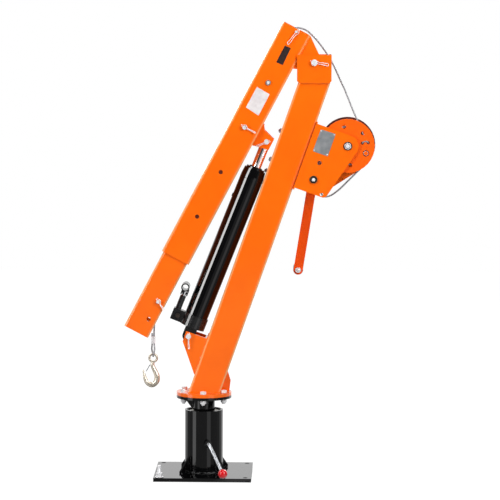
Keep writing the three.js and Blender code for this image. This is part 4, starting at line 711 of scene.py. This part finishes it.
DISC_BOLTS = 6
DISC_BOLT_CIRCLE = 69.6
DISC_BOLT_ACROSS = 15.6
DISC_WASHER = 9.2
DISC_HEAD = (251.6, 253.3, 259.6)  # washer's underside, its top, head's top
DISC_NUT = (232.7, 231.2, 222.7)  # washer's top, its underside, nut's underside
STUD_RADIUS = 6
DISC_STUD_END = 218.2
WINCH_BOLTS = ((814, 0), (726, -28), (686, 28))  # along the mast and across it
WINCH_HEAD = (49.6, 50.9, 55.5)
WINCH_NUT = (-45.3, -46.2, -50)
WINCH_STUD_END = -52.6
WINCH_STUD_RADIUS = 4.6
WINCH_HEAD_ACROSS, WINCH_NUT_ACROSS = 13.8, 12.6
WINCH_HEAD_WASHER, WINCH_NUT_WASHER = 7.9, 7.4
ANCHOR_AT = Vector((-127.5, -127.5, 0))
ANCHOR_NUT = (11.3, 13.8, 24.6)
ANCHOR_TOP = 47
ANCHOR_WASHER = 13
ANCHOR_ACROSS = 19


def flange_bolts():
    under, head_low, head_top = DISC_HEAD
    over, nut_top, nut_low = DISC_NUT
    for i in range(DISC_BOLTS):
        angle = -math.pi / 2 + TAU * i / DISC_BOLTS
        at = Matrix.Translation(Vector((DISC_BOLT_CIRCLE * math.cos(angle),
                                        DISC_BOLT_CIRCLE * math.sin(angle), 0)))
        shapes = joined(
            hexagon(DISC_BOLT_ACROSS, head_low, head_top),
            washer(DISC_WASHER, under, head_low),
            hexagon(DISC_BOLT_ACROSS, nut_low, nut_top),
            washer(DISC_WASHER, nut_top, over),
            threaded(STUD_RADIUS, DISC_STUD_END, nut_low + 0.3),
        )
        piece(f"flange_bolt_{i + 1}", *shapes, ZINC, "mast", at=at,
              replaces=[f"disc_bolt_{i + 1}"], slot="zinc", smooth=35)


def winch_bolts():
    under, head_low, head_top = WINCH_HEAD
    over, nut_top, nut_low = WINCH_NUT
    for i, (along, across) in enumerate(WINCH_BOLTS):
        at = MAST @ Matrix.Translation(Vector((0, across, along))) @ AXIS_X
        shapes = joined(
            hexagon(WINCH_HEAD_ACROSS, head_low, head_top),
            washer(WINCH_HEAD_WASHER, under, head_low, 0.3),
            hexagon(WINCH_NUT_ACROSS, nut_low, nut_top),
            washer(WINCH_NUT_WASHER, nut_top, over, 0.3),
            threaded(WINCH_STUD_RADIUS, WINCH_STUD_END, nut_low + 0.4, 1.5),
        )
        piece(f"winch_bolt_head_{i + 1}", *shapes, GREY_ZINC, "mast", at=at,
              replaces=[f"winch_bolt_{i + 1}"], slot="zinc", smooth=35)


def anchor():
    low, nut_low, nut_top = ANCHOR_NUT
    shapes = joined(
        lathe(chamfered(ANCHOR_WASHER, low, nut_low - 0.2, 0.5), 48),
        hexagon(ANCHOR_ACROSS, nut_low, nut_top),
        threaded(STUD_RADIUS, nut_top - 0.6, ANCHOR_TOP),
    )
    piece("anchor_stud_threaded", *shapes, ZINC, "base", at=Matrix.Translation(ANCHOR_AT),
          replaces=["anchor_stud"], slot="zinc", smooth=35)


flange_bolts()
winch_bolts()
anchor()


# lock lever and its ball
COLUMN_RADIUS = 57.15
LOCK_BOSS = 12
LOCK_STRAIGHT = 22
LOCK_KNOB_OFF = Vector((22, -98, -70))
LOCK_RADIUS = 4.95
LOCK_GROOVE = 0.5
BALL_RADIUS = 13.9


def lock_lever():
    """The bent threaded rod with its ball, and the jam nut on the column's boss."""
    bend = -COLUMN_RADIUS - LOCK_BOSS - LOCK_STRAIGHT
    corner = Vector((0, bend, LOCK_SCREW_HEIGHT))
    knob = corner + LOCK_KNOB_OFF
    slope = knob - corner
    points = [(0, -30.45, LOCK_SCREW_HEIGHT), (0, -70.15, LOCK_SCREW_HEIGHT),
              (0, bend + 11, LOCK_SCREW_HEIGHT), corner + slope * 0.14,
              knob - slope * (7 / slope.length)]
    line, _ = resampled(smooth_path(points, 12), 1.0)
    sizes = [LOCK_RADIUS - LOCK_GROOVE * (i % 2) for i in range(len(line))]
    tube("lock_screw", line, sizes, LOCK_ZINC, "lock_lever", at=LOCK, sides=24, smooth=50,
         replaces=["lock_lever"], slot="zinc")
    along = slope.normalized()
    turn = Vector((0, 0, 1)).rotation_difference(-along).to_matrix().to_4x4()
    rows = []
    for i in range(25):
        angle = -math.pi / 2 + math.pi * i / 24 * 0.93
        rows.append((BALL_RADIUS * math.cos(angle), BALL_RADIUS * math.sin(angle)))
    rows.append((5.3, rows[-1][1] - 0.2))
    turned("red_ball", rows, LOCK @ Matrix.Translation(knob) @ turn, RED, "lock_lever",
           replaces=["lock_knob"], slot="red_plastic")
    nut = LOCK @ Matrix.Translation(Vector((0, 0, LOCK_SCREW_HEIGHT))) @ AXIS_Y
    piece("lock_jam_nut", *hexagon(17, -74.9, -69.7), BLACK, "base", at=nut, slot="zinc",
          smooth=35)


lock_lever()


# clips through the pins
CLIP_WIRE = 0.95


def clip(name, at, body, x, y, z, toward, length, open_, pin=6.5):
    """A hairpin clip: its straight leg goes through the pin, its other leg hugs the pin."""
    turn = math.atan2(toward[1] - z, toward[0] - x)
    far = length - 2.6
    outline = [(-10.5, 0, 0), (-6, 0, 0), (0, 0, 0), (far * 0.4, 0, 0), (far * 0.8, 0, 0),
               (far, 0, -0.1), (length - 0.6, open_ * 0.2, 0), (length, open_ * 0.5, 0),
               (length - 0.6, open_ * 0.8, 0), (far, open_, 0), (far * 0.8, open_, 0),
               (far * 0.45, open_ * 0.72, 0), (pin + 2.5, open_ * 0.8, -0.5),
               (pin * 0.72, pin * 0.95, -1), (0, pin + 1.6, -1), (-pin * 0.75, pin * 0.9, -1),
               (-pin - 2.2, 3.4, -0.6), (-pin - 5, 4.8, 0)]
    points = [(x + a * math.cos(turn) - b * math.sin(turn), y + lift,
               z + a * math.sin(turn) + b * math.cos(turn)) for a, b, lift in outline]
    line, _ = resampled(smooth_path(points, 6), 1.0)
    return tube(name, line, CLIP_WIRE, ZINC, body, at=at, sides=10, slot="zinc")


BACK_FROM_BOOM = BOOM.inverted()
BACK_FROM_MAST = MAST.inverted()


def local_toward(inverse, centre, dx, dz):
    target = inverse @ Vector((centre.x + dx, 0, centre.z + dz))
    return (target.x, target.z)


def clips():
    """Each clip's pin and near end, then where it points in the world, its length and width."""
    clip("pivot_pin_clip", WORLD, "mast", PIVOT.x, -59.5, PIVOT.z, (PIVOT.x + 41, PIVOT.z - 9), 42,
         6.4, 8.0)
    for name, pin, y, dx, dz, length, open_ in (
        ("lock_pin_clip", Vector((BOOM_MIDDLE, 0, LOCK_PIN_ALONG)), -52, 33, -17, 37, 3.0),
        ("rear_pin_clip", REAR_AT, -52, -28, -35, 44, 6.2),
        ("jack_head_pin_clip", JACK_HEAD_AT, -34, -32, -13, 34, 4.2),
    ):
        toward = local_toward(BACK_FROM_BOOM, BOOM @ pin, dx, dz)
        clip(name, BOOM, "boom", pin.x, y, pin.z, toward, length, open_)
    clip("tip_pin_clip", BOOM, "extension", TIP_AT.x, -47, TIP_AT.z,
         local_toward(BACK_FROM_BOOM, TIP, 15, -23), 30, 3.0)
    clip("jack_foot_pin_clip", MAST, "mast", JACK_FOOT_AT.x, -45.5, JACK_FOOT_AT.z,
         local_toward(BACK_FROM_MAST, JACK_FOOT, 1, -38), 38, 2.8)


clips()


# weld beads
def weld(name, points, body, at, material, size):
    """A bead of overlapping ripples along a seam."""
    line, _ = resampled(points, 0.9)
    sizes = []
    for i in range(len(line)):
        ripple = 0.82 + 0.18 * abs(math.sin(i * 0.9 * math.pi / 3.4))
        end = min(1.0, 0.35 + min(i, len(line) - 1 - i) * 0.25)
        sizes.append(size * ripple * end)
    return tube(name, line, sizes, material, body, at=at, sides=10, smooth=50)


def ring_points(radius, z):
    return [(radius * math.cos(TAU * i / 64), radius * math.sin(TAU * i / 64), z)
            for i in range(65)]


GUSSET_SIDES = (("a", -3.2), ("b", 3.2))  # beside a gusset's sheet
BOTH = ("near", -1), ("far", 1)
# straight seams: name, sides and how far aside, X, from Z, to Z, body, frame, size
SEAMS = (
    ("weld_pivot_lug", (("near", -40.3), ("near_in", -33.8), ("far", 40.3), ("far_in", 33.8)),
     -47.7, 60, -42, "boom", BOOM, 2.2),
    ("weld_head_lug", [(side, sign * 26.3) for side, sign in BOTH], -47.9, -233, -300, "boom",
     BOOM, 2.0),
    ("weld_foot_lug", [(side, sign * 38.3) for side, sign in BOTH], -45.1, 44, 166, "mast", MAST,
     2.0),
    ("weld_winch", [(side, sign * 47.52) for side, sign in BOTH], 49.6, 690, 856, "mast", MAST,
     1.8),
)


def welds():
    """Beads round the column, the post and the mast's ends, and the straight seams."""
    weld("weld_column_foot", ring_points(57.6, 11.6), "base", WORLD, BLACK, 3.0)
    for i in range(4):
        turn = Matrix.Rotation(TAU * (i + 0.5) / 4, 4, "Z")
        for side, y in GUSSET_SIDES:
            weld(f"weld_gusset_{i}{side}", [(59, y, 12), (95, y, 12)], "base", turn, BLACK, 2.0)
            up = [(57.3, y, 14), (57.3, y, 56)]
            weld(f"weld_gusset_up_{i}{side}", up, "base", turn, BLACK, 2.0)
    for i in range(3):
        turn = Matrix.Rotation(math.pi + TAU * i / 3, 4, "Z")
        for side, y in GUSSET_SIDES:
            up = [(32.7, y, 204), (32.7, y, 231)]
            weld(f"weld_post_{i}{side}", up, "mast", turn, BLACK, 1.8)
    weld("weld_post_disc", ring_points(33.1, 232.2), "mast", WORLD, BLACK, 2.2)
    run = TUBE_HALF / math.cos(LEAN)
    foot = [(MAST_FOOT.x + side * run, across, 252) for side, across in (
        (-1, -TUBE_HALF), (1, -TUBE_HALF), (1, TUBE_HALF), (-1, TUBE_HALF), (-1, -TUBE_HALF))]
    weld("weld_mast_foot", foot, "mast", WORLD, ORANGE, 2.4)
    for side, sign in BOTH:
        y = sign * (TUBE_HALF + 0.5)
        head = [(PIVOT.x - run + 3, y, 1178), (PIVOT.x + TUBE_HALF, y, 1178)]
        weld(f"weld_head_{side}", head, "mast", WORLD, ORANGE, 2.2)
    for name, sides, x, start, end, body, at, size in SEAMS:
        for side, y in sides:
            weld(f"{name}_{side}", [(x, y, start), (x, y, end)], body, at, ORANGE, size)


welds()


# stickers and plates
def sheet_plate(name, corners, y, thickness, material, body, round_):
    """A thin plate with rounded corners, given by its four corners in X and Z."""
    outline = []
    count = len(corners)
    for i, corner in enumerate(corners):
        here = Vector((corner[0], 0, corner[1]))
        before = Vector((corners[i - 1][0], 0, corners[i - 1][1]))
        after = Vector((corners[(i + 1) % count][0], 0, corners[(i + 1) % count][1]))
        a = here + (before - here).normalized() * round_
        b = here + (after - here).normalized() * round_
        for k in range(6):
            t = k / 5
            p = a * (1 - t) ** 2 + here * 2 * t * (1 - t) + b * t**2
            outline.append((p.x, p.z))
    return prism(name, outline, y, y + thickness, material, body)


def back_project(u, v, y):
    """The point in the plane y that a pixel of the camera's picture shows."""
    cam = bpy.context.scene.camera
    turn = cam.matrix_world.to_3x3()
    middle = PICTURE_SIDE / 2
    ray = turn @ Vector(((u - middle) / FOCAL_PIXELS, (middle - v) / FOCAL_PIXELS, -1))
    start = cam.matrix_world.translation / MM
    t = (y - start.y) / ray.y
    return start + ray * t


bpy.context.view_layer.update()


def pixel_corners(pixels, y):
    return [(p.x, p.z) for p in (back_project(u, v, y) for u, v in pixels)]


# the labels' corners in the picture's pixels, the plate's in X and Z
DARK_LABEL_PIXELS = ((284.9, 45.5), (290.9, 48.1), (282.6, 65.1), (276.2, 62.2))
PALE_LABEL_PIXELS = ((257, 86.9), (269.6, 94.3), (258.5, 115.6), (245.9, 107.3))
LABEL_THICKNESS = 0.4
PLATE_CORNERS = ((345.4, 1042.1), (389.5, 1028.7), (366.3, 962.3), (322.2, 977.5))
PLATE_THICKNESS = 0.8
PLATE_FACE = -52.9
RIVET_DOME = ((2.0, 0.6), (2.0, 0.1), (1.6, -0.5), (0.9, -0.9), (0.2, -1.0))
RIVET_INSET = 0.12  # share of the way to the plate's middle


def stickers():
    """The two bare labels on the boom, and the bare plate with its rivets on the winch."""
    for name, pixels, material in (("boom_label_dark", DARK_LABEL_PIXELS, LABEL_DARK),
                                   ("boom_label_pale", PALE_LABEL_PIXELS, LABEL_PALE)):
        sheet_plate(name, pixel_corners(pixels, -TUBE_HALF), -TUBE_HALF - 0.5, LABEL_THICKNESS,
                    material, "boom", 1.5)
    sheet_plate("rating_plate", PLATE_CORNERS, PLATE_FACE, PLATE_THICKNESS, PLATE, "mast", 2.5)
    corners = [Vector((x, 0, z)) for x, z in PLATE_CORNERS]
    middle = sum(corners, Vector()) / 4
    for i, corner in enumerate(corners):
        p = corner.lerp(middle, RIVET_INSET)
        at = Matrix.Translation(Vector((p.x, PLATE_FACE - 0.1, p.z))) @ AXIS_Y
        turned(f"plate_rivet_{i}", RIVET_DOME, at, ZINC, "mast", sides=20)


stickers()


# small fittings
def ring_y(name, outer, inner, y0, y1, x, z, material, body, at, edge=0.3):
    rows = [(inner, y0), (outer - edge, y0), (outer, y0 + edge), (outer, y1 - edge),
            (outer - edge, y1), (inner, y1)]
    place = at @ Matrix.Translation(Vector((x, 0, z))) @ AXIS_Y
    return turned(name, rows, place, material, body, closed=True)


def end_bolt(name, across, y0, y1, x, z, material, body, at):
    """A hexagon head or nut with a domed bolt end, facing the crane's near side."""
    place = at @ Matrix.Translation(Vector((x, 0, z))) @ AXIS_Y
    shapes = joined(hexagon(across, y0, y1),
                    lathe([(across * 0.3, y0 + 0.4), (across * 0.3, y0 - 0.6),
                           (across * 0.22, y0 - 1.2), (0.2, y0 - 1.5)], 32))
    return piece(name, *shapes, material, body, at=place, smooth=35)


FLANGE_FACE = -44.1
CLAMP_TURN = math.radians(-22) + LEAN
CLAMP_REACH = 58
CABLE_END_OFF = Vector((52, 0, 10.8))
BOW_RADIUS = 2.3
WINCH_SIDE = 52.4
SHAFT_NUT_ACROSS = 18.6
SHAFT_NUTS = ((-61.2, -54.4), (54.2, 60.6))
STOP_ACROSS = 14.6
STOP_SEAT, STOP_TOP = 45.3, 50.6
PAWL_TURN = math.radians(20)
PAWL_REACH = 47
PAWL = Vector((CRANK_X + PAWL_REACH * math.cos(PAWL_TURN), 0,
               CRANK_Z + PAWL_REACH * math.sin(PAWL_TURN)))


def cable_end():
    """The cable's end comes out of the drum's face and goes back in beside the clamp; dark discs
    paint the shade inside the holes it goes through.
    """
    middle = DRUM + CABLE_END_OFF
    bow = [(-9, -42.6, -2.4), (-7.6, -43.6, -0.8), (-3, -44.5, 2.2), (3, -44.5, 2.6),
           (7.6, -43.6, 0.6), (9, -42.6, -1.2)]
    path = smooth_path([(middle.x + x, y, middle.z + z) for x, y, z in bow], 6)
    line, _ = resampled(path, 0.8)
    tube("cable_end_bow", line, BOW_RADIUS, ROPE, "drum", sides=14, **ROPE_LOOK)
    # dark discs on the flange face are painted shade for the holes
    for name, x, z in (("a", -8.6, -2.2), ("b", 8.6, -0.8)):
        point = BACK_FROM_MAST @ Vector((middle.x + x, 0, middle.z + z))
        ring_y(f"cable_hole_painted_shade_{name}", 4.6, 0.3, FLANGE_FACE - 0.4, FLANGE_FACE, point.x, point.z,
               GEAR_RED_AND_PAINTED_SHADE, "drum", MAST, edge=0.1)


def drum_fittings():
    """The cable clamp, a dark ring of painted shade on the far flange's rim, and the shaft with
    its nuts and washers.
    """
    x = DRUM_X + CLAMP_REACH * math.cos(CLAMP_TURN)
    z = DRUM_Z + CLAMP_REACH * math.sin(CLAMP_TURN)
    ring_y("clamp_washer", 9.2, 3.0, FLANGE_FACE - 0.6, FLANGE_FACE, x, z, STEEL, "drum", MAST)
    place = MAST @ Matrix.Translation(Vector((x, 0, z))) @ AXIS_Y
    piece("clamp_bolt", *hexagon(13.4, -46.95, -44.7), ZINC, "drum", at=place, smooth=35)
    # a dark ring over the far flange's rim paints in the shade there
    ring_y("drum_far_rim_painted_shade", 82.9, 75.0, 26.9, 27.3, DRUM_X, DRUM_Z, GEAR_RED_AND_PAINTED_SHADE, "drum", MAST, edge=0.1)
    cable_end()
    place = MAST @ Matrix.Translation(Vector((DRUM_X, 0, DRUM_Z))) @ AXIS_Y
    shapes = joined(
        lathe(chamfered(6.3, -62.6, 66.2, 1), 40),
        *[hexagon(SHAFT_NUT_ACROSS, *ends) for ends in SHAFT_NUTS],
    )
    piece("drum_shaft_dressed", *shapes, ZINC, "mast", at=place, replaces=["drum_shaft"],
          slot="zinc", smooth=35)
    near, far = SHAFT_NUTS
    for side, y0, y1 in (("near", near[1], -WINCH_SIDE), ("far", WINCH_SIDE, far[0])):
        ring_y(f"drum_washer_{side}", 12.8, 6.9, y0, y1, DRUM_X, DRUM_Z, STEEL, "mast", MAST)
    ring_y("drum_nut_collar", 7.4, 6.4, near[0] - 0.6, near[0], DRUM_X, DRUM_Z, STEEL, "mast",
           MAST)


def crank_fittings():
    """The crank's bush, circlip and end screw, the grip's nut and the pawl's spring."""
    ring_y("crank_bush", 12.0, 8.6, -53.2, -52.1, CRANK_X, CRANK_Z, BRASS, "mast", MAST)
    ring_y("crank_circlip", 10.6, 5.6, -57.8, -57.1, CRANK_X, CRANK_Z, STEEL, "crank", MAST)
    end_bolt("crank_end_screw", 9.6, -59.4, -57.1, CRANK_X, CRANK_Z, ZINC, "crank", MAST)
    end_bolt("grip_nut", 16.2, 62.4, 67.9, 0, -285, ZINC, "crank", CRANK)
    spring = [(PAWL.x + 5.5 * math.cos(TAU * t / 14), 58.4 + 0.9 * t / 42,
               PAWL.z + 5.5 * math.sin(TAU * t / 14)) for t in range(43)]
    tube("pawl_spring", spring, 0.42, ZINC, "mast", at=MAST, sides=8)


def boom_fittings():
    """The stop bolt, and dark discs of painted shade inside the boom's free holes."""
    along = LOCK_PIN_ALONG + HOLE_PITCH
    place = BOOM @ Matrix.Translation(Vector((BOOM_MIDDLE, 0, along))) @ AXIS_Y
    shapes = joined(
        lathe(chamfered(5.8, -STOP_SEAT, STOP_SEAT, 0.3), 32),
        hexagon(STOP_ACROSS, -STOP_TOP, -STOP_SEAT),
        hexagon(STOP_ACROSS, STOP_SEAT, STOP_TOP),
    )
    piece("stop_bolt_heads", *shapes, GREY_ZINC, "boom", at=place, replaces=["stop_bolt"],
          slot="zinc", smooth=35)
    ring_y("stop_bolt_face", 4.4, 0.3, -STOP_TOP - 0.6, -STOP_TOP, BOOM_MIDDLE, along, ZINC,
           "boom", BOOM)
    # dark discs paint the shade inside the free holes
    for i in range(2):
        along = LOCK_PIN_ALONG - HOLE_PITCH * (i + 1)
        ring_y(f"boom_hole_painted_shade_{i}", 6.3, 0.3, -43.4, -42.8, BOOM_MIDDLE, along, GEAR_RED_AND_PAINTED_SHADE, "boom",
               BOOM, edge=0.1)


def jack_fittings():
    """The oil plug, the cylinder's band and the ram's wiper."""
    plug = JACK @ Matrix.Translation(Vector((-34.2, 0, 441))) @ AXIS_X
    turned("oil_plug", [(5.6, 1.0), (5.6, -1.6), (5.0, -2.2), (1.0, -2.4)], plug, RUBBER, "jack",
           sides=32)
    rows = [(34.2, 503), (35.4, 503.4), (35.4, 504.8), (34.2, 505.2)]
    turned("jack_band", rows, JACK, BLACK, "jack", sides=64, closed=True)
    rows = [(15.3, 541.1), (19.5, 541.1), (20.0, 541.8), (18.5, 543.4), (15.3, 543.6)]
    turned("rod_wiper", rows, JACK, RUBBER, "jack", closed=True)


drum_fittings()
crank_fittings()
boom_fittings()
jack_fittings()


# studio
def light_path(tree, *kinds):
    """One where a ray is of any of the kinds."""
    path = tree.nodes.new("ShaderNodeLightPath")
    total = path.outputs[kinds[0]]
    for kind in kinds[1:]:
        most = tree.nodes.new("ShaderNodeMath")
        most.operation = "MAXIMUM"
        tree.links.new(total, most.inputs[0])
        tree.links.new(path.outputs[kind], most.inputs[1])
        total = most.outputs[0]
    return total


def background(tree, colour, strength=1.0):
    node = tree.nodes.new("ShaderNodeBackground")
    node.inputs["Strength"].default_value = strength
    if isinstance(colour, tuple):
        node.inputs["Color"].default_value = (*colour, 1)
    else:
        tree.links.new(colour, node.inputs["Color"])
    return node.outputs[0]


def mixed(tree, share, a, b):
    node = tree.nodes.new("ShaderNodeMixShader")
    if isinstance(share, float):
        node.inputs[0].default_value = share
    else:
        tree.links.new(share, node.inputs[0])
    tree.links.new(a, node.inputs[1])
    tree.links.new(b, node.inputs[2])
    return node.outputs[0]


def add_world():
    """White behind the part; the room in front of it is dim."""
    world = bpy.data.worlds.new("studio")
    bpy.context.scene.world = world
    world.use_nodes = True
    tree = world.node_tree
    tree.nodes.clear()
    coords = tree.nodes.new("ShaderNodeTexCoord")
    split = tree.nodes.new("ShaderNodeSeparateXYZ")
    tree.links.new(coords.outputs["Generated"], split.inputs["Vector"])
    room = ramp(tree, split.outputs["Y"], [(0.2, (0.05, 0.05, 0.052)), (0.7, (1, 1, 1))])
    soft = ramp(tree, split.outputs["Z"], [(0.0, (0.55, 0.55, 0.56)), (0.5, (1, 1, 1))])
    matt = background(tree, soft, 0.22)
    shiny = background(tree, room)
    seen = background(tree, (1, 1, 1))
    lit = mixed(tree, light_path(tree, "Is Glossy Ray"), matt, shiny)
    whole = mixed(tree, light_path(tree, "Is Camera Ray", "Is Transmission Ray"), lit, seen)
    out = tree.nodes.new("ShaderNodeOutputWorld")
    tree.links.new(whole, out.inputs["Surface"])


FLOOR_HALF = 6.0
FLOOR_TOP = -0.0005


def add_floor():
    """Plain white to the camera; shiny paint sees light and dark strips round the part."""
    corners = [(x * FLOOR_HALF, y * FLOOR_HALF, FLOOR_TOP)
               for x, y in ((-1, -1), (1, -1), (1, 1), (-1, 1))]
    mesh = bpy.data.meshes.new("floor")
    mesh.from_pydata(corners, [], [(0, 1, 2, 3)])
    floor = bpy.data.objects.new("floor", mesh)
    bpy.context.scene.collection.objects.link(floor)
    mat, tree, shader = tree_of("pale_floor")
    shader.inputs["Base Color"].default_value = (0.9, 0.9, 0.9, 1)
    shader.inputs["Roughness"].default_value = 0.9
    dim = tree.nodes.new("ShaderNodeBsdfDiffuse")
    dim.inputs["Color"].default_value = (0.3, 0.3, 0.3, 1)
    glow = tree.nodes.new("ShaderNodeEmission")
    glow.inputs["Strength"].default_value = 1.09
    bright = mixed(tree, 0.9, shader.outputs[0], glow.outputs[0])
    coords = tree.nodes.new("ShaderNodeTexCoord")
    split = tree.nodes.new("ShaderNodeSeparateXYZ")
    tree.links.new(coords.outputs["Object"], split.inputs["Vector"])
    around = tree.nodes.new("ShaderNodeMath")
    around.operation = "ARCTAN2"
    tree.links.new(split.outputs["X"], around.inputs[0])
    tree.links.new(split.outputs["Y"], around.inputs[1])
    place = tree.nodes.new("ShaderNodeMapRange")
    place.inputs["From Min"].default_value = -math.pi
    place.inputs["From Max"].default_value = math.pi
    tree.links.new(around.outputs[0], place.inputs["Value"])
    shades = ramp(tree, place.outputs["Result"], [
        (at / 360, (level, level, level)) for at, level in (
            (0, 0.12), (48, 0.12), (54, 0.95), (58, 0.95), (64, 0.12), (110, 0.12), (135, 0.5),
            (180, 0.5), (225, 0.5), (250, 0.12), (310, 0.12), (328, 0.4), (334, 0.4), (350, 0.12),
        )])
    strips = tree.nodes.new("ShaderNodeEmission")
    strips.inputs["Strength"].default_value = 2.0
    tree.links.new(shades, strips.inputs["Color"])
    lit = mixed(tree, light_path(tree, "Is Glossy Ray"), dim.outputs[0], strips.outputs[0])
    whole = mixed(tree, light_path(tree, "Is Camera Ray", "Is Transmission Ray"), lit, bright)
    tree.links.new(whole, tree.nodes["Material Output"].inputs["Surface"])
    floor.data.materials.append(mat)


LAMP_TARGET = Vector((0.1, 0, 0.72))


def add_lamp(name, azimuth, height, distance, size_x, size_y, power):
    """An area lamp at an angle from the camera's side, aimed at the part's middle."""
    turn = math.radians(azimuth)
    place = Vector((distance * math.sin(turn), -distance * math.cos(turn), height))
    data = bpy.data.lights.new(name, "AREA")
    data.shape = "RECTANGLE"
    data.size, data.size_y = size_x, size_y
    data.energy = power
    lamp = bpy.data.objects.new(name, data)
    bpy.context.scene.collection.objects.link(lamp)
    lamp.location = place
    lamp.rotation_euler = (LAMP_TARGET - place).to_track_quat("-Z", "Y").to_euler()
    lamp.visible_camera = False


def studio():
    bpy.context.scene.view_settings.view_transform = "Standard"
    add_world()
    add_floor()
    add_lamp("key", -52, 1.6, 4.0, 0.7, 2.8, 95)
    add_lamp("fill", 40, 2.1, 3.9, 1.5, 2.2, 112)
    add_lamp("top", 10, 4.2, 2.0, 1.6, 1.6, 40)
    add_lamp("back_left", -145, 2.8, 4.0, 1.5, 1.6, 70)
    add_lamp("back_right", 150, 2.8, 4.0, 1.5, 1.6, 70)


studio()
